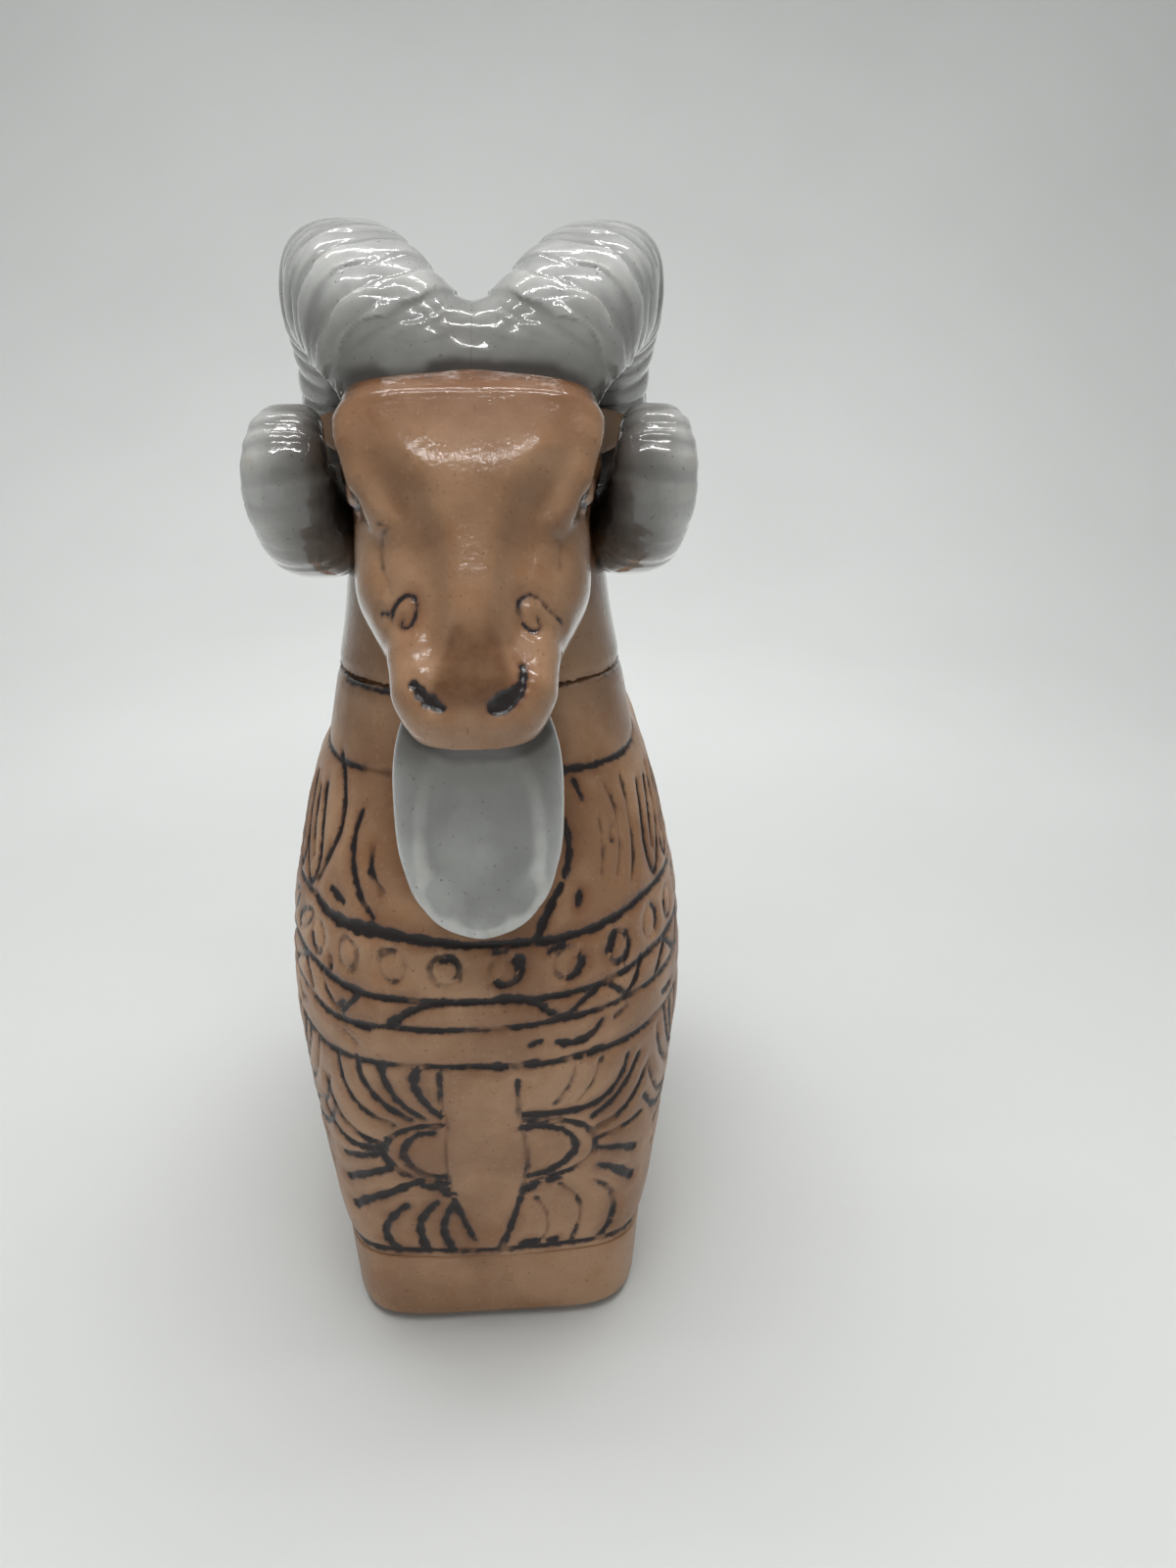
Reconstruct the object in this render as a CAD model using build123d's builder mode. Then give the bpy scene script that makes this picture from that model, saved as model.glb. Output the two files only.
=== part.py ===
"""A hollow glazed ceramic ram, 217 mm tall: ten clay pieces luted together with slip.

+Z is up, the ram faces -Y, and X = 0 is its plane of symmetry. The origin is the
centre of the flat underside. Units are millimetres.
"""

from build123d import *
from math import copysign, cos, pi, radians, sin
import os

# ---- driving dimensions --------------------------------------------------------------------
WALL = 4.0  # thickness of the cast walls
LUTE_GAP = 0.15  # slip film between a tenon or spigot and its socket
LUTE_SEAM = 0.1  # slip film where two outer skins meet
OUTLINE_POINTS = 24  # points on each oval outline

PLINTH_HEIGHT = 18.5
PLINTH_TOP_HALF_WIDTH = 33.0
PLINTH_HALF_LENGTH = 60.0
PLINTH_DRAFT = 0.6  # how far the band leans out from its foot to its top
PLINTH_POWER = 6.0  # 2 is an ellipse, more is squarer
PLINTH_EDGE_RADIUS = 2.4
LIP_HEIGHT = 6.0  # locating lip of the plinth, inside the body
LIP_THICKNESS = 2.4
BASE_PLATE_THICKNESS = 4.5
BASE_PLATE_REBATE = 2.0  # ledge inside the plinth that the base plate butts against
VENT_RADIUS = 4.0
VENT_Y = 28.0

NECK_SEAM_Z = 138.0  # the head casting starts here
SPIGOT_DEPTH = 9.0
SPIGOT_THICKNESS = 2.4
SPIGOT_ROOT = 1.5  # how deep the spigot's root is set into the wall above the seam

# Torso outlines: height, half width, front, widest line, back, squareness.
TORSO = [
    (PLINTH_HEIGHT, PLINTH_TOP_HALF_WIDTH, -PLINTH_HALF_LENGTH, 0.0, PLINTH_HALF_LENGTH, PLINTH_POWER),
    (27.0, 35.4, -61.4, 1.0, 61.2, 5.2),
    (36.0, 37.4, -63.0, 3.0, 62.4, 4.5),
    (50.0, 40.2, -66.5, 6.0, 64.5, 3.8),
    (70.0, 43.2, -71.0, 10.0, 66.5, 3.1),
    (88.0, 42.2, -71.5, 13.0, 67.0, 2.8),
    (102.0, 39.2, -68.0, 15.0, 65.0, 2.6),
    (113.0, 36.9, -60.0, 16.0, 60.5, 2.5),
    (122.0, 33.0, -46.0, 15.0, 52.0, 2.4),
    (128.5, 23.0, -29.0, 12.0, 38.0, 2.2),
    (131.5, 8.0, -9.0, 8.0, 20.0, 2.1),
]

SHOULDER_Z = 122.5  # above this the torso rounds over, so its wall is measured downward

# Neck outlines: height, half width, half depth, middle.
NECK = [
    (84.0, 36.5, 36.0, -31.0),
    (98.0, 36.4, 35.0, -29.0),
    (109.0, 34.6, 33.5, -27.0),
    (121.0, 31.9, 31.0, -24.6),
    (132.0, 29.8, 29.0, -23.0),
    (NECK_SEAM_Z, 28.7, 28.0, -22.4),
    (147.0, 27.0, 26.6, -22.0),
    (158.0, 25.4, 25.0, -23.0),
    (170.0, 23.4, 22.8, -26.5),
    (182.0, 20.4, 19.6, -32.0),
    (191.0, 15.0, 14.5, -37.0),
    (196.0, 6.0, 6.0, -40.0),
]
LOWER_NECK = [station for station in NECK if station[0] <= NECK_SEAM_Z]
UPPER_NECK = [station for station in NECK if station[0] >= NECK_SEAM_Z]
NECK_POWER = 2.1

# The head is lofted down its face: the face runs from the brow towards the nose.
BROW = Vector(0, -58.0, 193.5)
FACE_LEAN = 31.0  # degrees between the face and the vertical
# Head outlines: distance down the face, half width, depth behind the face, squareness.
HEAD = [
    (-3.5, 15.0, 25.0, 2.4),
    (0.0, 20.6, 33.0, 3.0),
    (9.0, 22.8, 38.0, 3.2),
    (20.0, 21.3, 38.0, 3.0),
    (31.0, 19.8, 33.0, 2.8),
    (39.0, 17.2, 28.5, 2.7),
    (44.5, 14.6, 25.0, 2.6),
    (50.0, 12.9, 22.0, 2.6),
    (55.5, 11.9, 18.5, 2.5),
    (60.0, 8.6, 12.5, 2.4),
    (62.0, 4.5, 7.0, 2.2),
]

# Horn centre line on the +X side: x, y, z, half width, half thickness.
# It runs up and back from the brow, then curls down and forward beside the cheek.
HORN = [
    (10.4, -46.5, 186.0, 12.6, 11.4),
    (11.4, -42.0, 197.0, 14.2, 13.4),
    (17.0, -33.0, 204.4, 14.6, 12.6),
    (23.0, -20.8, 205.0, 12.4, 12.0),
    (24.6, -9.0, 198.0, 10.2, 11.4),
    (25.2, -3.0, 186.0, 9.7, 10.6),
    (26.6, -6.2, 173.8, 9.4, 9.8),
    (29.0, -16.0, 165.4, 9.0, 9.2),
    (30.4, -28.2, 163.6, 8.8, 8.6),
    (30.9, -39.2, 167.2, 8.2, 7.8),
    (31.4, -45.6, 174.8, 8.0, 7.0),
    (31.4, -43.2, 181.6, 8.0, 5.8),
    (31.2, -36.6, 183.4, 6.8, 4.6),
    (30.9, -31.6, 180.8, 4.6, 3.2),
]
HORN_WALL = 4.2
HORN_HOLLOW = slice(1, 10)  # the outlines along its hollow: the thin end is solid
TENON_RADIUS = 6.0
TENON_BORE_RADIUS = 3.2
TENON_DROP = 4.0  # how far the tenon's foot lies below the horn's first outline
TENON_LENGTH = 14.0
SOCKET_REACH = 18.0  # from the tenon's foot to just inside the horn's hollow

EAR_ROOT = Vector(16.5, -23.0, 181.0)
EAR_SWEEP = Vector(1.0, 0.42, 0.12)  # the way an ear points, on the +X side
# Ear outlines: distance from its root, half width, half thickness.
EAR = [(0.0, 3.0, 1.9), (6.5, 4.5, 2.1), (12.0, 3.9, 1.8), (16.5, 1.4, 0.9)]

LOCK_POWER = 2.2  # squareness of the beard's and the tail's outlines
# Beard outlines: height, half width, front, back.
BEARD = [
    (147.0, 9.0, -79.0, -56.0),
    (136.0, 13.2, -79.5, -52.0),
    (124.0, 14.5, -79.5, -52.0),
    (114.0, 13.6, -80.5, -55.0),
    (107.0, 10.4, -81.5, -60.0),
    (103.2, 6.4, -81.0, -65.0),
    (101.6, 2.2, -79.0, -71.0),
]

# Tail outlines: height, half width, front, back.
TAIL = [
    (108.0, 3.0, 52.0, 60.0),
    (103.0, 6.6, 53.0, 66.5),
    (92.0, 8.2, 58.0, 71.0),
    (80.0, 7.4, 60.0, 72.5),
    (71.0, 4.6, 61.0, 71.0),
    (67.5, 1.6, 63.0, 68.0),
]


# ---- outlines ------------------------------------------------------------------------------
def oval(plane, half_width, front, widest, back, power):
    """A closed squarish oval on a plane, between front and back along the plane's own y."""
    points = []
    for i in range(OUTLINE_POINTS):
        turn = 2 * pi * (i + 0.5) / OUTLINE_POINTS
        across = copysign(abs(cos(turn)) ** (2 / power), cos(turn))
        along = abs(sin(turn)) ** (2 / power)
        reach = back - widest if sin(turn) > 0 else front - widest
        points.append((half_width * across, widest + reach * along))
    with BuildSketch(plane) as outline:
        with BuildLine():
            Spline(*points, periodic=True)
        make_face()
    return outline.sketch


def torso_outlines(inset):
    """The torso's outlines, drawn in by inset. The top one comes down by it too."""
    made = []
    for z, half_width, front, widest, back, power in TORSO:
        inner_width = max(half_width - inset, 2.0)
        height = z - inset if z > SHOULDER_Z else z
        plane = Plane.XY.offset(height)
        made.append(oval(plane, inner_width, front + inset, widest, back - inset, power))
    return made


def neck_outlines(stations, inset):
    """The neck's outlines, drawn in by inset."""
    made = []
    for z, half_width, half_depth, middle in stations:
        depth = max(half_depth - inset, 2.0)
        width = max(half_width - inset, 2.0)
        plane = Plane.XY.offset(z)
        made.append(oval(plane, width, middle - depth, middle, middle + depth, NECK_POWER))
    return made


def head_outlines(inset):
    """The head's outlines, on planes square to the face, drawn in by inset all round."""
    down_face = Vector(0, -sin(radians(FACE_LEAN)), -cos(radians(FACE_LEAN)))
    first, last = HEAD[0][0], HEAD[-1][0]
    shorten = 1 - 2 * inset / (last - first)
    made = []
    for distance, half_width, depth, power in HEAD:
        inner_distance = first + inset + (distance - first) * shorten
        plane = Plane(origin=BROW + down_face * inner_distance, x_dir=(1, 0, 0), z_dir=down_face)
        inner_width = max(half_width - inset, 1.5)
        inner_back = min(inset - depth, -inset - 2.0)
        middle = (inner_back - inset) / 2
        made.append(oval(plane, inner_width, inner_back, middle, -inset, power))
    return made


def seam_outline(height, inset):
    """The outline of the seam between head and body, at a height, drawn in by inset."""
    _, half_width, half_depth, middle = UPPER_NECK[0]
    front = middle - half_depth + inset
    back = middle + half_depth - inset
    return oval(Plane.XY.offset(height), half_width - inset, front, middle, back, NECK_POWER)


def band_outline(height, inset):
    """The outline of the plinth's top, at a height, drawn in by inset."""
    half_length = PLINTH_HALF_LENGTH - inset
    half_width = PLINTH_TOP_HALF_WIDTH - inset
    return oval(Plane.XY.offset(height), half_width, -half_length, 0.0, half_length, PLINTH_POWER)


def horn_outlines(sections, inset):
    """Oval outlines square to the centre line of the +X horn, drawn in by inset."""
    points = [Vector(x, y, z) for x, y, z, _, _ in HORN]
    with BuildLine() as centre_line:
        Spline(*points)
    path = centre_line.edges()[0]
    made = []
    for point, (_, _, _, half_width, half_thickness) in list(zip(points, HORN))[sections]:
        plane = Plane(origin=point, x_dir=(1, 0, 0), z_dir=path.tangent_at(point))
        with BuildSketch(plane) as outline:
            Ellipse(half_width - inset, half_thickness - inset)
        made.append(outline.sketch)
    return made


def tenon_outline(side, radius):
    """A circle at the foot of a horn's tenon, inside the crown. Side is 1 for +X, -1 for -X."""
    first, second = Vector(*HORN[0][:3]), Vector(*HORN[1][:3])
    upward = (second - first).normalized()
    foot = first - upward * TENON_DROP
    plane = Plane(origin=(side * foot.X, foot.Y, foot.Z), z_dir=(side * upward.X, upward.Y, upward.Z))
    with BuildSketch(plane) as outline:
        Circle(radius)
    return outline.sketch


def level_outlines(stations):
    """Oval outlines on level planes, from rows of height, half width, front and back."""
    made = []
    for z, half_width, front, back in stations:
        middle = (front + back) / 2
        made.append(oval(Plane.XY.offset(z), half_width, front, middle, back, LOCK_POWER))
    return made


def write(builder, name):
    """Labels a finished piece and writes it as its own STEP file."""
    builder.part.label = name
    export_step(builder.part, f"parts/{name}.step")


os.makedirs("parts", exist_ok=True)

# ---- body shell: torso and lower neck, open below and at the neck ------------------------------
with BuildPart() as body_form:
    loft(torso_outlines(0.0))
    loft(neck_outlines(LOWER_NECK, 0.0))

# The same form, a slip film larger, trims what is luted onto it.
with BuildPart() as body_trim:
    loft(torso_outlines(-LUTE_SEAM))
    loft(neck_outlines(LOWER_NECK, -LUTE_SEAM))

with BuildPart() as body_shell:
    add(body_form.part)
    loft(torso_outlines(WALL), mode=Mode.SUBTRACT)
    loft(neck_outlines(LOWER_NECK, WALL), mode=Mode.SUBTRACT)
write(body_shell, "body_shell")

# ---- plinth: the plain band under the body, with a lip that locates the body ----------------------
LIP_INSET = WALL + LUTE_GAP
BORE_INSET = LIP_INSET + LIP_THICKNESS
REBATE_INSET = BORE_INSET - BASE_PLATE_REBATE

with BuildPart() as plinth:
    foot_length = PLINTH_HALF_LENGTH - PLINTH_DRAFT
    foot_width = PLINTH_TOP_HALF_WIDTH - PLINTH_DRAFT
    foot = oval(Plane.XY, foot_width, -foot_length, 0.0, foot_length, PLINTH_POWER)
    loft([foot, band_outline(PLINTH_HEIGHT, 0.0)])
    fillet(plinth.edges().group_by(Axis.Z)[0], PLINTH_EDGE_RADIUS)
    extrude(band_outline(PLINTH_HEIGHT, LIP_INSET), LIP_HEIGHT)
    bore = band_outline(BASE_PLATE_THICKNESS, BORE_INSET)
    extrude(bore, PLINTH_HEIGHT + LIP_HEIGHT, mode=Mode.SUBTRACT)
    extrude(band_outline(0.0, REBATE_INSET), BASE_PLATE_THICKNESS, mode=Mode.SUBTRACT)
write(plinth, "plinth")

# ---- base plate: closes the plinth, with the vent that lets air out in the kiln -------------------
with BuildPart() as base_plate:
    extrude(band_outline(0.0, REBATE_INSET + LUTE_GAP), BASE_PLATE_THICKNESS)
    with Locations((0, VENT_Y, BASE_PLATE_THICKNESS)):
        Hole(VENT_RADIUS)
write(base_plate, "base_plate")

# ---- head: face, skull and upper neck, with a spigot down into the body ---------------------------
with BuildPart() as head_form:
    loft(head_outlines(0.0))
    loft(neck_outlines(UPPER_NECK, 0.0))

with BuildPart() as head_trim:
    loft(head_outlines(-LUTE_SEAM))
    loft(neck_outlines(UPPER_NECK, -LUTE_SEAM))

with BuildPart() as spigot:
    spigot_foot = NECK_SEAM_Z - SPIGOT_DEPTH
    extrude(seam_outline(spigot_foot, WALL + LUTE_GAP), SPIGOT_DEPTH)
    extrude(seam_outline(NECK_SEAM_Z, WALL - SPIGOT_ROOT), SPIGOT_THICKNESS)
    bore = seam_outline(spigot_foot, WALL + SPIGOT_THICKNESS)
    extrude(bore, SPIGOT_DEPTH + SPIGOT_THICKNESS, mode=Mode.SUBTRACT)

with BuildPart() as head:
    add(head_form.part)
    loft(head_outlines(WALL), mode=Mode.SUBTRACT)
    loft(neck_outlines(UPPER_NECK[:-2], WALL), mode=Mode.SUBTRACT)
    add(spigot.part)
    for side in (1, -1):
        extrude(tenon_outline(side, TENON_RADIUS + LUTE_GAP), SOCKET_REACH, mode=Mode.SUBTRACT)
write(head, "head")

# ---- horns: hollow, each with a tubular tenon that vents it into the head --------------------------
with BuildPart() as horn_right:
    loft(horn_outlines(slice(None), 0.0))
    split(bisect_by=Plane.YZ.offset(LUTE_SEAM), keep=Keep.TOP)
    add(head_trim.part, mode=Mode.SUBTRACT)
    extrude(tenon_outline(1, TENON_RADIUS), TENON_LENGTH)
    loft(horn_outlines(HORN_HOLLOW, HORN_WALL), mode=Mode.SUBTRACT)
    extrude(tenon_outline(1, TENON_BORE_RADIUS), SOCKET_REACH, mode=Mode.SUBTRACT)
write(horn_right, "horn_right")

with BuildPart() as horn_left:
    mirror(horn_right.part, about=Plane.YZ)
write(horn_left, "horn_left")

# ---- ears: a small leaf in the eye of each horn's curl ------------------------------------------------
with BuildPart() as ear_right:
    leaf = []
    for distance, half_width, half_thickness in EAR:
        origin = EAR_ROOT + EAR_SWEEP.normalized() * distance
        with BuildSketch(Plane(origin=origin, x_dir=(0, 0, 1), z_dir=EAR_SWEEP)) as leaf_outline:
            Ellipse(half_width, half_thickness)
        leaf.append(leaf_outline.sketch)
    loft(leaf)
    add(head_trim.part, mode=Mode.SUBTRACT)
write(ear_right, "ear_right")

with BuildPart() as ear_left:
    mirror(ear_right.part, about=Plane.YZ)
write(ear_left, "ear_left")

# ---- beard: a broad lock under the chin, laid against the neck --------------------------------------
with BuildPart() as beard:
    loft(level_outlines(BEARD))
    add(head_trim.part, mode=Mode.SUBTRACT)
    add(body_trim.part, mode=Mode.SUBTRACT)
write(beard, "beard")

# ---- tail: a short lock down the middle of the rump --------------------------------------------------
with BuildPart() as tail:
    loft(level_outlines(TAIL))
    add(body_trim.part, mode=Mode.SUBTRACT)
write(tail, "tail")
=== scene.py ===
"""The looks of a hollow glazed ceramic ram: brown stained clay with dark incised ornament,
and a pale grey glaze on its horns, beard and tail.

Every piece is modelled as clay: a field in millimetres that is negative inside the form,
built up by smooth joins and carving, then meshed. Ornament is incised afterwards, and each
vertex keeps how far it lies from the nearest line, which the glazes turn into wiped stain.
+Z is up, the ram faces -Y, and X = 0 is its plane of symmetry.
"""

import math

import bmesh
import bpy
import numpy as np
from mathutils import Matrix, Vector


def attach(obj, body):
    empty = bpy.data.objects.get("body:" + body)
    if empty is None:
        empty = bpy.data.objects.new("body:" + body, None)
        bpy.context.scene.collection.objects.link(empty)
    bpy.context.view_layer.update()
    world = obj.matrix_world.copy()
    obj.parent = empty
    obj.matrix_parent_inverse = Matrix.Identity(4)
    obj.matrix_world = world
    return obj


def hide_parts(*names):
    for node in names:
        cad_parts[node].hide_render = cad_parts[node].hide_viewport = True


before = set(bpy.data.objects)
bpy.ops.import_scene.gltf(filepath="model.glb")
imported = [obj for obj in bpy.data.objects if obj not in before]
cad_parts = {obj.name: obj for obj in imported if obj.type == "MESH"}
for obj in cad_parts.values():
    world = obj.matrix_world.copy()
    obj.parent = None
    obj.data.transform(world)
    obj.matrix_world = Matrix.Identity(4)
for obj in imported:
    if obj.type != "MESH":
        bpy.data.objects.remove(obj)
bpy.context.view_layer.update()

MM = 0.001

# ---- sizes, in millimetres -----------------------------------------------------------------
PLINTH_TOP = 18.5
PLINTH_HALF_WIDTH = 33.0
PLINTH_HALF_LENGTH = 60.0
PLINTH_DRAFT = 1.3  # how much further in each side is at the bottom
PLINTH_EDGE = 3.4  # rounding of the bottom edge
PLINTH_POWER = 6.0  # squareness of the outline
PLATE_THICKNESS = 4.5
PLATE_INSET = 4.6
PLATE_GAP = 0.2
VENT_RADIUS = 4.0
VENT_Y = 28.0
NECK_SEAM = 138.0
LOFT_EDGE = 2.0  # rounding where a loft ends
BODY_BLEND = 9.0  # fillet between torso and neck

# Torso: height, half width, front, widest line, back, squareness of the level section.
TORSO = [
    (PLINTH_TOP, PLINTH_HALF_WIDTH, -PLINTH_HALF_LENGTH, 0.0, PLINTH_HALF_LENGTH, PLINTH_POWER),
    (27.0, 35.4, -61.4, 1.0, 61.0, 5.2),
    (36.0, 37.4, -63.0, 3.0, 62.4, 4.5),
    (50.0, 40.2, -66.5, 6.0, 64.5, 3.8),
    (70.0, 43.0, -71.0, 10.0, 66.5, 3.1),
    (88.0, 42.0, -71.3, 13.0, 66.8, 2.8),
    (102.0, 38.8, -68.0, 15.0, 64.8, 2.6),
    (113.0, 36.4, -60.0, 16.0, 60.3, 2.5),
    (122.0, 32.0, -46.0, 15.0, 51.5, 2.4),
    (128.5, 22.0, -29.0, 12.0, 37.5, 2.2),
    (132.0, 6.0, -7.0, 8.0, 18.0, 2.1),
]

# Neck: height, half width, half depth, middle of the level section.
NECK = [
    (40.0, 26.0, 26.0, -30.0),
    (84.0, 36.2, 36.0, -31.0),
    (98.0, 36.2, 35.0, -29.0),
    (109.0, 34.4, 33.5, -27.0),
    (121.0, 31.7, 31.0, -24.6),
    (132.0, 29.6, 29.0, -23.0),
    (138.0, 28.5, 28.0, -22.4),
    (147.0, 26.8, 26.6, -22.0),
    (158.0, 25.2, 25.0, -23.0),
    (170.0, 23.2, 22.8, -26.5),
    (182.0, 20.2, 19.6, -32.0),
    (191.0, 15.0, 14.5, -37.0),
    (196.0, 6.0, 6.0, -40.0),
]
NECK_POWER = 2.1

# The face runs down from the brow, leaning forward.
BROW = (-58.0, 193.5)  # y and z
FACE_LEAN = math.radians(31.0)

# Raised middle of the face, forehead to nose: distance down the face, half width,
# how far it stands behind the face plane, depth behind that.
BRIDGE = [
    (-6.5, 19.5, 7.6, 20.0),
    (-2.5, 21.6, 4.2, 26.0),
    (0.6, 22.2, 2.1, 29.0),
    (2.4, 22.3, 1.1, 30.5),
    (4.6, 22.2, 0.85, 31.0),
    (8.0, 22.2, 0.55, 32.0),
    (12.0, 19.8, 0.18, 31.0),
    (15.0, 16.6, 0.0, 29.0),
    (20.5, 12.0, 0.25, 26.0),
    (26.0, 9.4, 0.75, 24.0),
    (32.0, 7.4, 1.2, 22.0),
    (39.0, 5.8, 1.5, 20.0),
    (45.0, 5.6, 1.7, 18.0),
    (50.0, 8.6, 1.9, 17.0),
    (55.0, 9.8, 2.4, 15.0),
    (58.6, 7.6, 4.0, 11.0),
    (61.6, 3.4, 6.6, 6.0),
]
BRIDGE_POWER = 3.6

# Brow, cheeks and muzzle, outside and behind the raised middle: the same columns.
CHEEKS = [
    (3.0, 18.6, 7.0, 24.0),
    (8.0, 21.6, 3.2, 31.0),
    (13.0, 21.2, 2.4, 33.0),
    (18.0, 20.4, 3.2, 33.0),
    (25.0, 20.2, 4.2, 31.0),
    (33.0, 19.4, 4.2, 28.0),
    (38.0, 17.2, 4.0, 25.0),
    (43.0, 14.8, 3.8, 22.0),
    (47.5, 13.2, 3.6, 20.0),
    (51.0, 12.6, 3.4, 18.0),
    (55.0, 11.4, 3.6, 16.0),
    (58.6, 8.4, 5.0, 11.0),
    (61.6, 3.6, 7.2, 6.0),
]
CHEEK_POWER = 2.7

# The face's relief on the +X side, mirrored on the other. Each row is x, distance down the
# face, depth behind the face plane, and radius.
NOSE_RIDGE = [
    (0.0, 24.0, 7.0, 4.6),
    (0.0, 34.0, 6.1, 4.6),
    (0.0, 43.0, 6.0, 4.6),
    (0.0, 50.0, 6.8, 5.4),
]
BROW_RIDGE = [
    (19.3, 6.0, 7.4, 2.8),
    (19.2, 10.0, 7.0, 3.4),
    (17.2, 16.0, 6.2, 3.2),
    (13.4, 23.5, 5.8, 1.6),
]
EYE_HOLLOW = [
    (14.4, 16.5, -2.0, 3.2),
    (11.4, 22.5, -1.0, 4.1),
    (9.2, 29.0, -0.2, 3.9),
    (8.2, 34.5, 0.4, 2.2),
]
NOSE_GROOVE = [
    (8.2, 33.5, -0.5, 2.4),
    (7.2, 40.0, -0.5, 3.1),
    (6.8, 45.0, -0.2, 3.1),
    (8.0, 49.0, 0.5, 1.6),
]
MUZZLE_SIDE = [(9.6, 46.0, 8.6, 3.4), (9.0, 51.0, 6.9, 3.8), (6.6, 55.5, 7.0, 3.2)]
# The eye and the socket cut back round it: centre and radii in the same directions.
EYE_SOCKET = ((23.4, 14.6, 11.0), (3.6, 8.0, 6.6))
EYE_BALL = ((17.8, 14.6, 11.0), (3.4, 5.4, 4.4))

# Horn on the +X side: x, y, z of its centre line, and its radius.
HORN = [
    (9.0, -44.5, 185.0, 11.0),
    (11.6, -41.2, 194.2, 11.6),
    (16.6, -37.6, 201.4, 11.8),
    (21.4, -30.0, 206.2, 11.6),
    (23.6, -20.6, 206.4, 11.6),
    (24.3, -9.8, 199.0, 10.8),
    (24.9, -3.2, 186.0, 10.0),
    (26.6, -6.2, 173.8, 9.4),
    (28.8, -16.0, 165.8, 8.9),
    (29.7, -28.2, 164.0, 8.5),
    (30.9, -38.6, 167.6, 8.2),
    (32.1, -44.6, 175.0, 8.0),
    (32.3, -42.4, 181.0, 6.8),
    (31.6, -36.8, 182.4, 5.0),
    (30.9, -32.4, 180.0, 3.6),
]
HORN_RING = 6.4  # from one growth ring to the next
RING_HEIGHT = 0.55
HORN_POWER = 2.7  # squareness of its section
HORN_LEAN = 0.03  # sideways lean of both horns towards +X, above HORN_LEAN_FROM
HORN_LEAN_FROM = 176.0
HORNS_MEET = 32.0  # the distance from the middle plane within which the horns can join
HORNS_MEET_STOPS = 14  # and the number of stops, from the root, that take part
HORNS_BLEND = 7.0
# What fills the dip between the horns: the same columns.
SADDLE = [(0.0, -38.8, 192.8, 10.6), (7.0, -39.0, 193.8, 10.8), (14.0, -38.0, 196.6, 11.4)]

# Beard: height, half width, front, back.
BEARD = [
    (101.8, 2.0, -79.0, -73.6),
    (103.6, 6.4, -80.6, -71.0),
    (107.5, 10.6, -81.2, -69.2),
    (114.0, 13.3, -80.6, -67.8),
    (124.0, 14.4, -79.4, -66.6),
    (137.0, 13.2, -78.6, -66.0),
    (147.0, 9.0, -77.6, -66.0),
]
# Centre and radii of what is hollowed out of its front, and of the dent on each side below.
BEARD_DISH = ((0.0, -88.4, 122.0), (12.9, 14.6, 22.5))
BEARD_DENT = ((7.0, -80.4, 110.0), (2.8, 2.4, 3.4))
BEARD_BACK = -63.0  # middle of the part that seats against the neck
BEARD_REACH = 12.5  # half its depth
BEARD_GAP = 0.1  # the slip between beard and neck

# Tail: x, y, z of its centre line, and its radius.
TAIL = [
    (0.0, 58.0, 106.0, 3.4),
    (0.0, 64.0, 98.0, 5.4),
    (0.0, 66.5, 88.0, 5.6),
    (0.0, 66.8, 78.0, 4.4),
    (0.0, 66.0, 70.0, 2.2),
]

EAR_ROOT = np.array([15.0, -23.6, 180.8])
EAR_TIP = np.array([31.5, -16.8, 182.8])
EAR_THICKNESS = 1.5  # half of it
EAR_NARROWEST = 1.2  # half height at its ends
EAR_SWELL = 3.4  # what its middle adds to that
EAR_WIDEST = 4.6
EAR_CUP = 1.4  # how far its edges curl forward


# ---- fields and how they join ----------------------------------------------------------------
def curve(rows, column, at):
    """A column of a table read at any stations, as a smooth curve through its rows."""
    stations = np.array([row[0] for row in rows])
    values = np.array([row[column] for row in rows])
    slopes = np.gradient(values, stations)
    i = np.clip(np.searchsorted(stations, at) - 1, 0, len(rows) - 2)
    span = stations[i + 1] - stations[i]
    t = np.clip((at - stations[i]) / span, 0.0, 1.0)
    rise = (values[i + 1] - values[i]) * t * t * (3 - 2 * t)
    ease_in = slopes[i] * span * t * (1 - t) ** 2
    ease_out = slopes[i + 1] * span * t * t * (1 - t)
    return values[i] + rise + ease_in - ease_out


def spline(points, steps):
    """A smooth line through points, steps samples to a stretch, as an array."""
    rows = [(i,) + tuple(point) for i, point in enumerate(points)]
    at = np.linspace(0, len(points) - 1, steps * (len(points) - 1) + 1)
    return np.stack([curve(rows, column, at) for column in range(1, len(points[0]) + 1)], axis=1)


def step(value, low, high):
    """Zero up to low, one from high, and smooth between."""
    t = np.clip((value - low) / (high - low), 0.0, 1.0)
    return t * t * (3 - 2 * t)


def join(a, b, blend):
    """Two forms joined, with a fillet about as large as blend where they meet."""
    t = np.clip(0.5 + 0.5 * (b - a) / blend, 0.0, 1.0)
    return b * (1 - t) + a * t - blend * t * (1 - t)


def trim(a, b, blend):
    """Only what is inside both forms, with the edge between them rounded."""
    return -join(-a, -b, blend)


def carve(a, b, blend):
    """The first form with the second taken out of it, with a rounded edge."""
    return -join(-a, b, blend)


def squarish(across, along, half_width, reach, power):
    """A squarish oval's field, about zero at its outline."""
    ratio = (np.abs(across) / half_width) ** power + (np.abs(along) / reach) ** power
    return (ratio ** (1 / power) - 1) * np.minimum(half_width, reach)


def ball(p, centre, radii):
    """An ellipsoid's field."""
    radii = np.array(radii)
    return (np.linalg.norm((p - np.array(centre)) / radii, axis=1) - 1) * radii.min()


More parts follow.
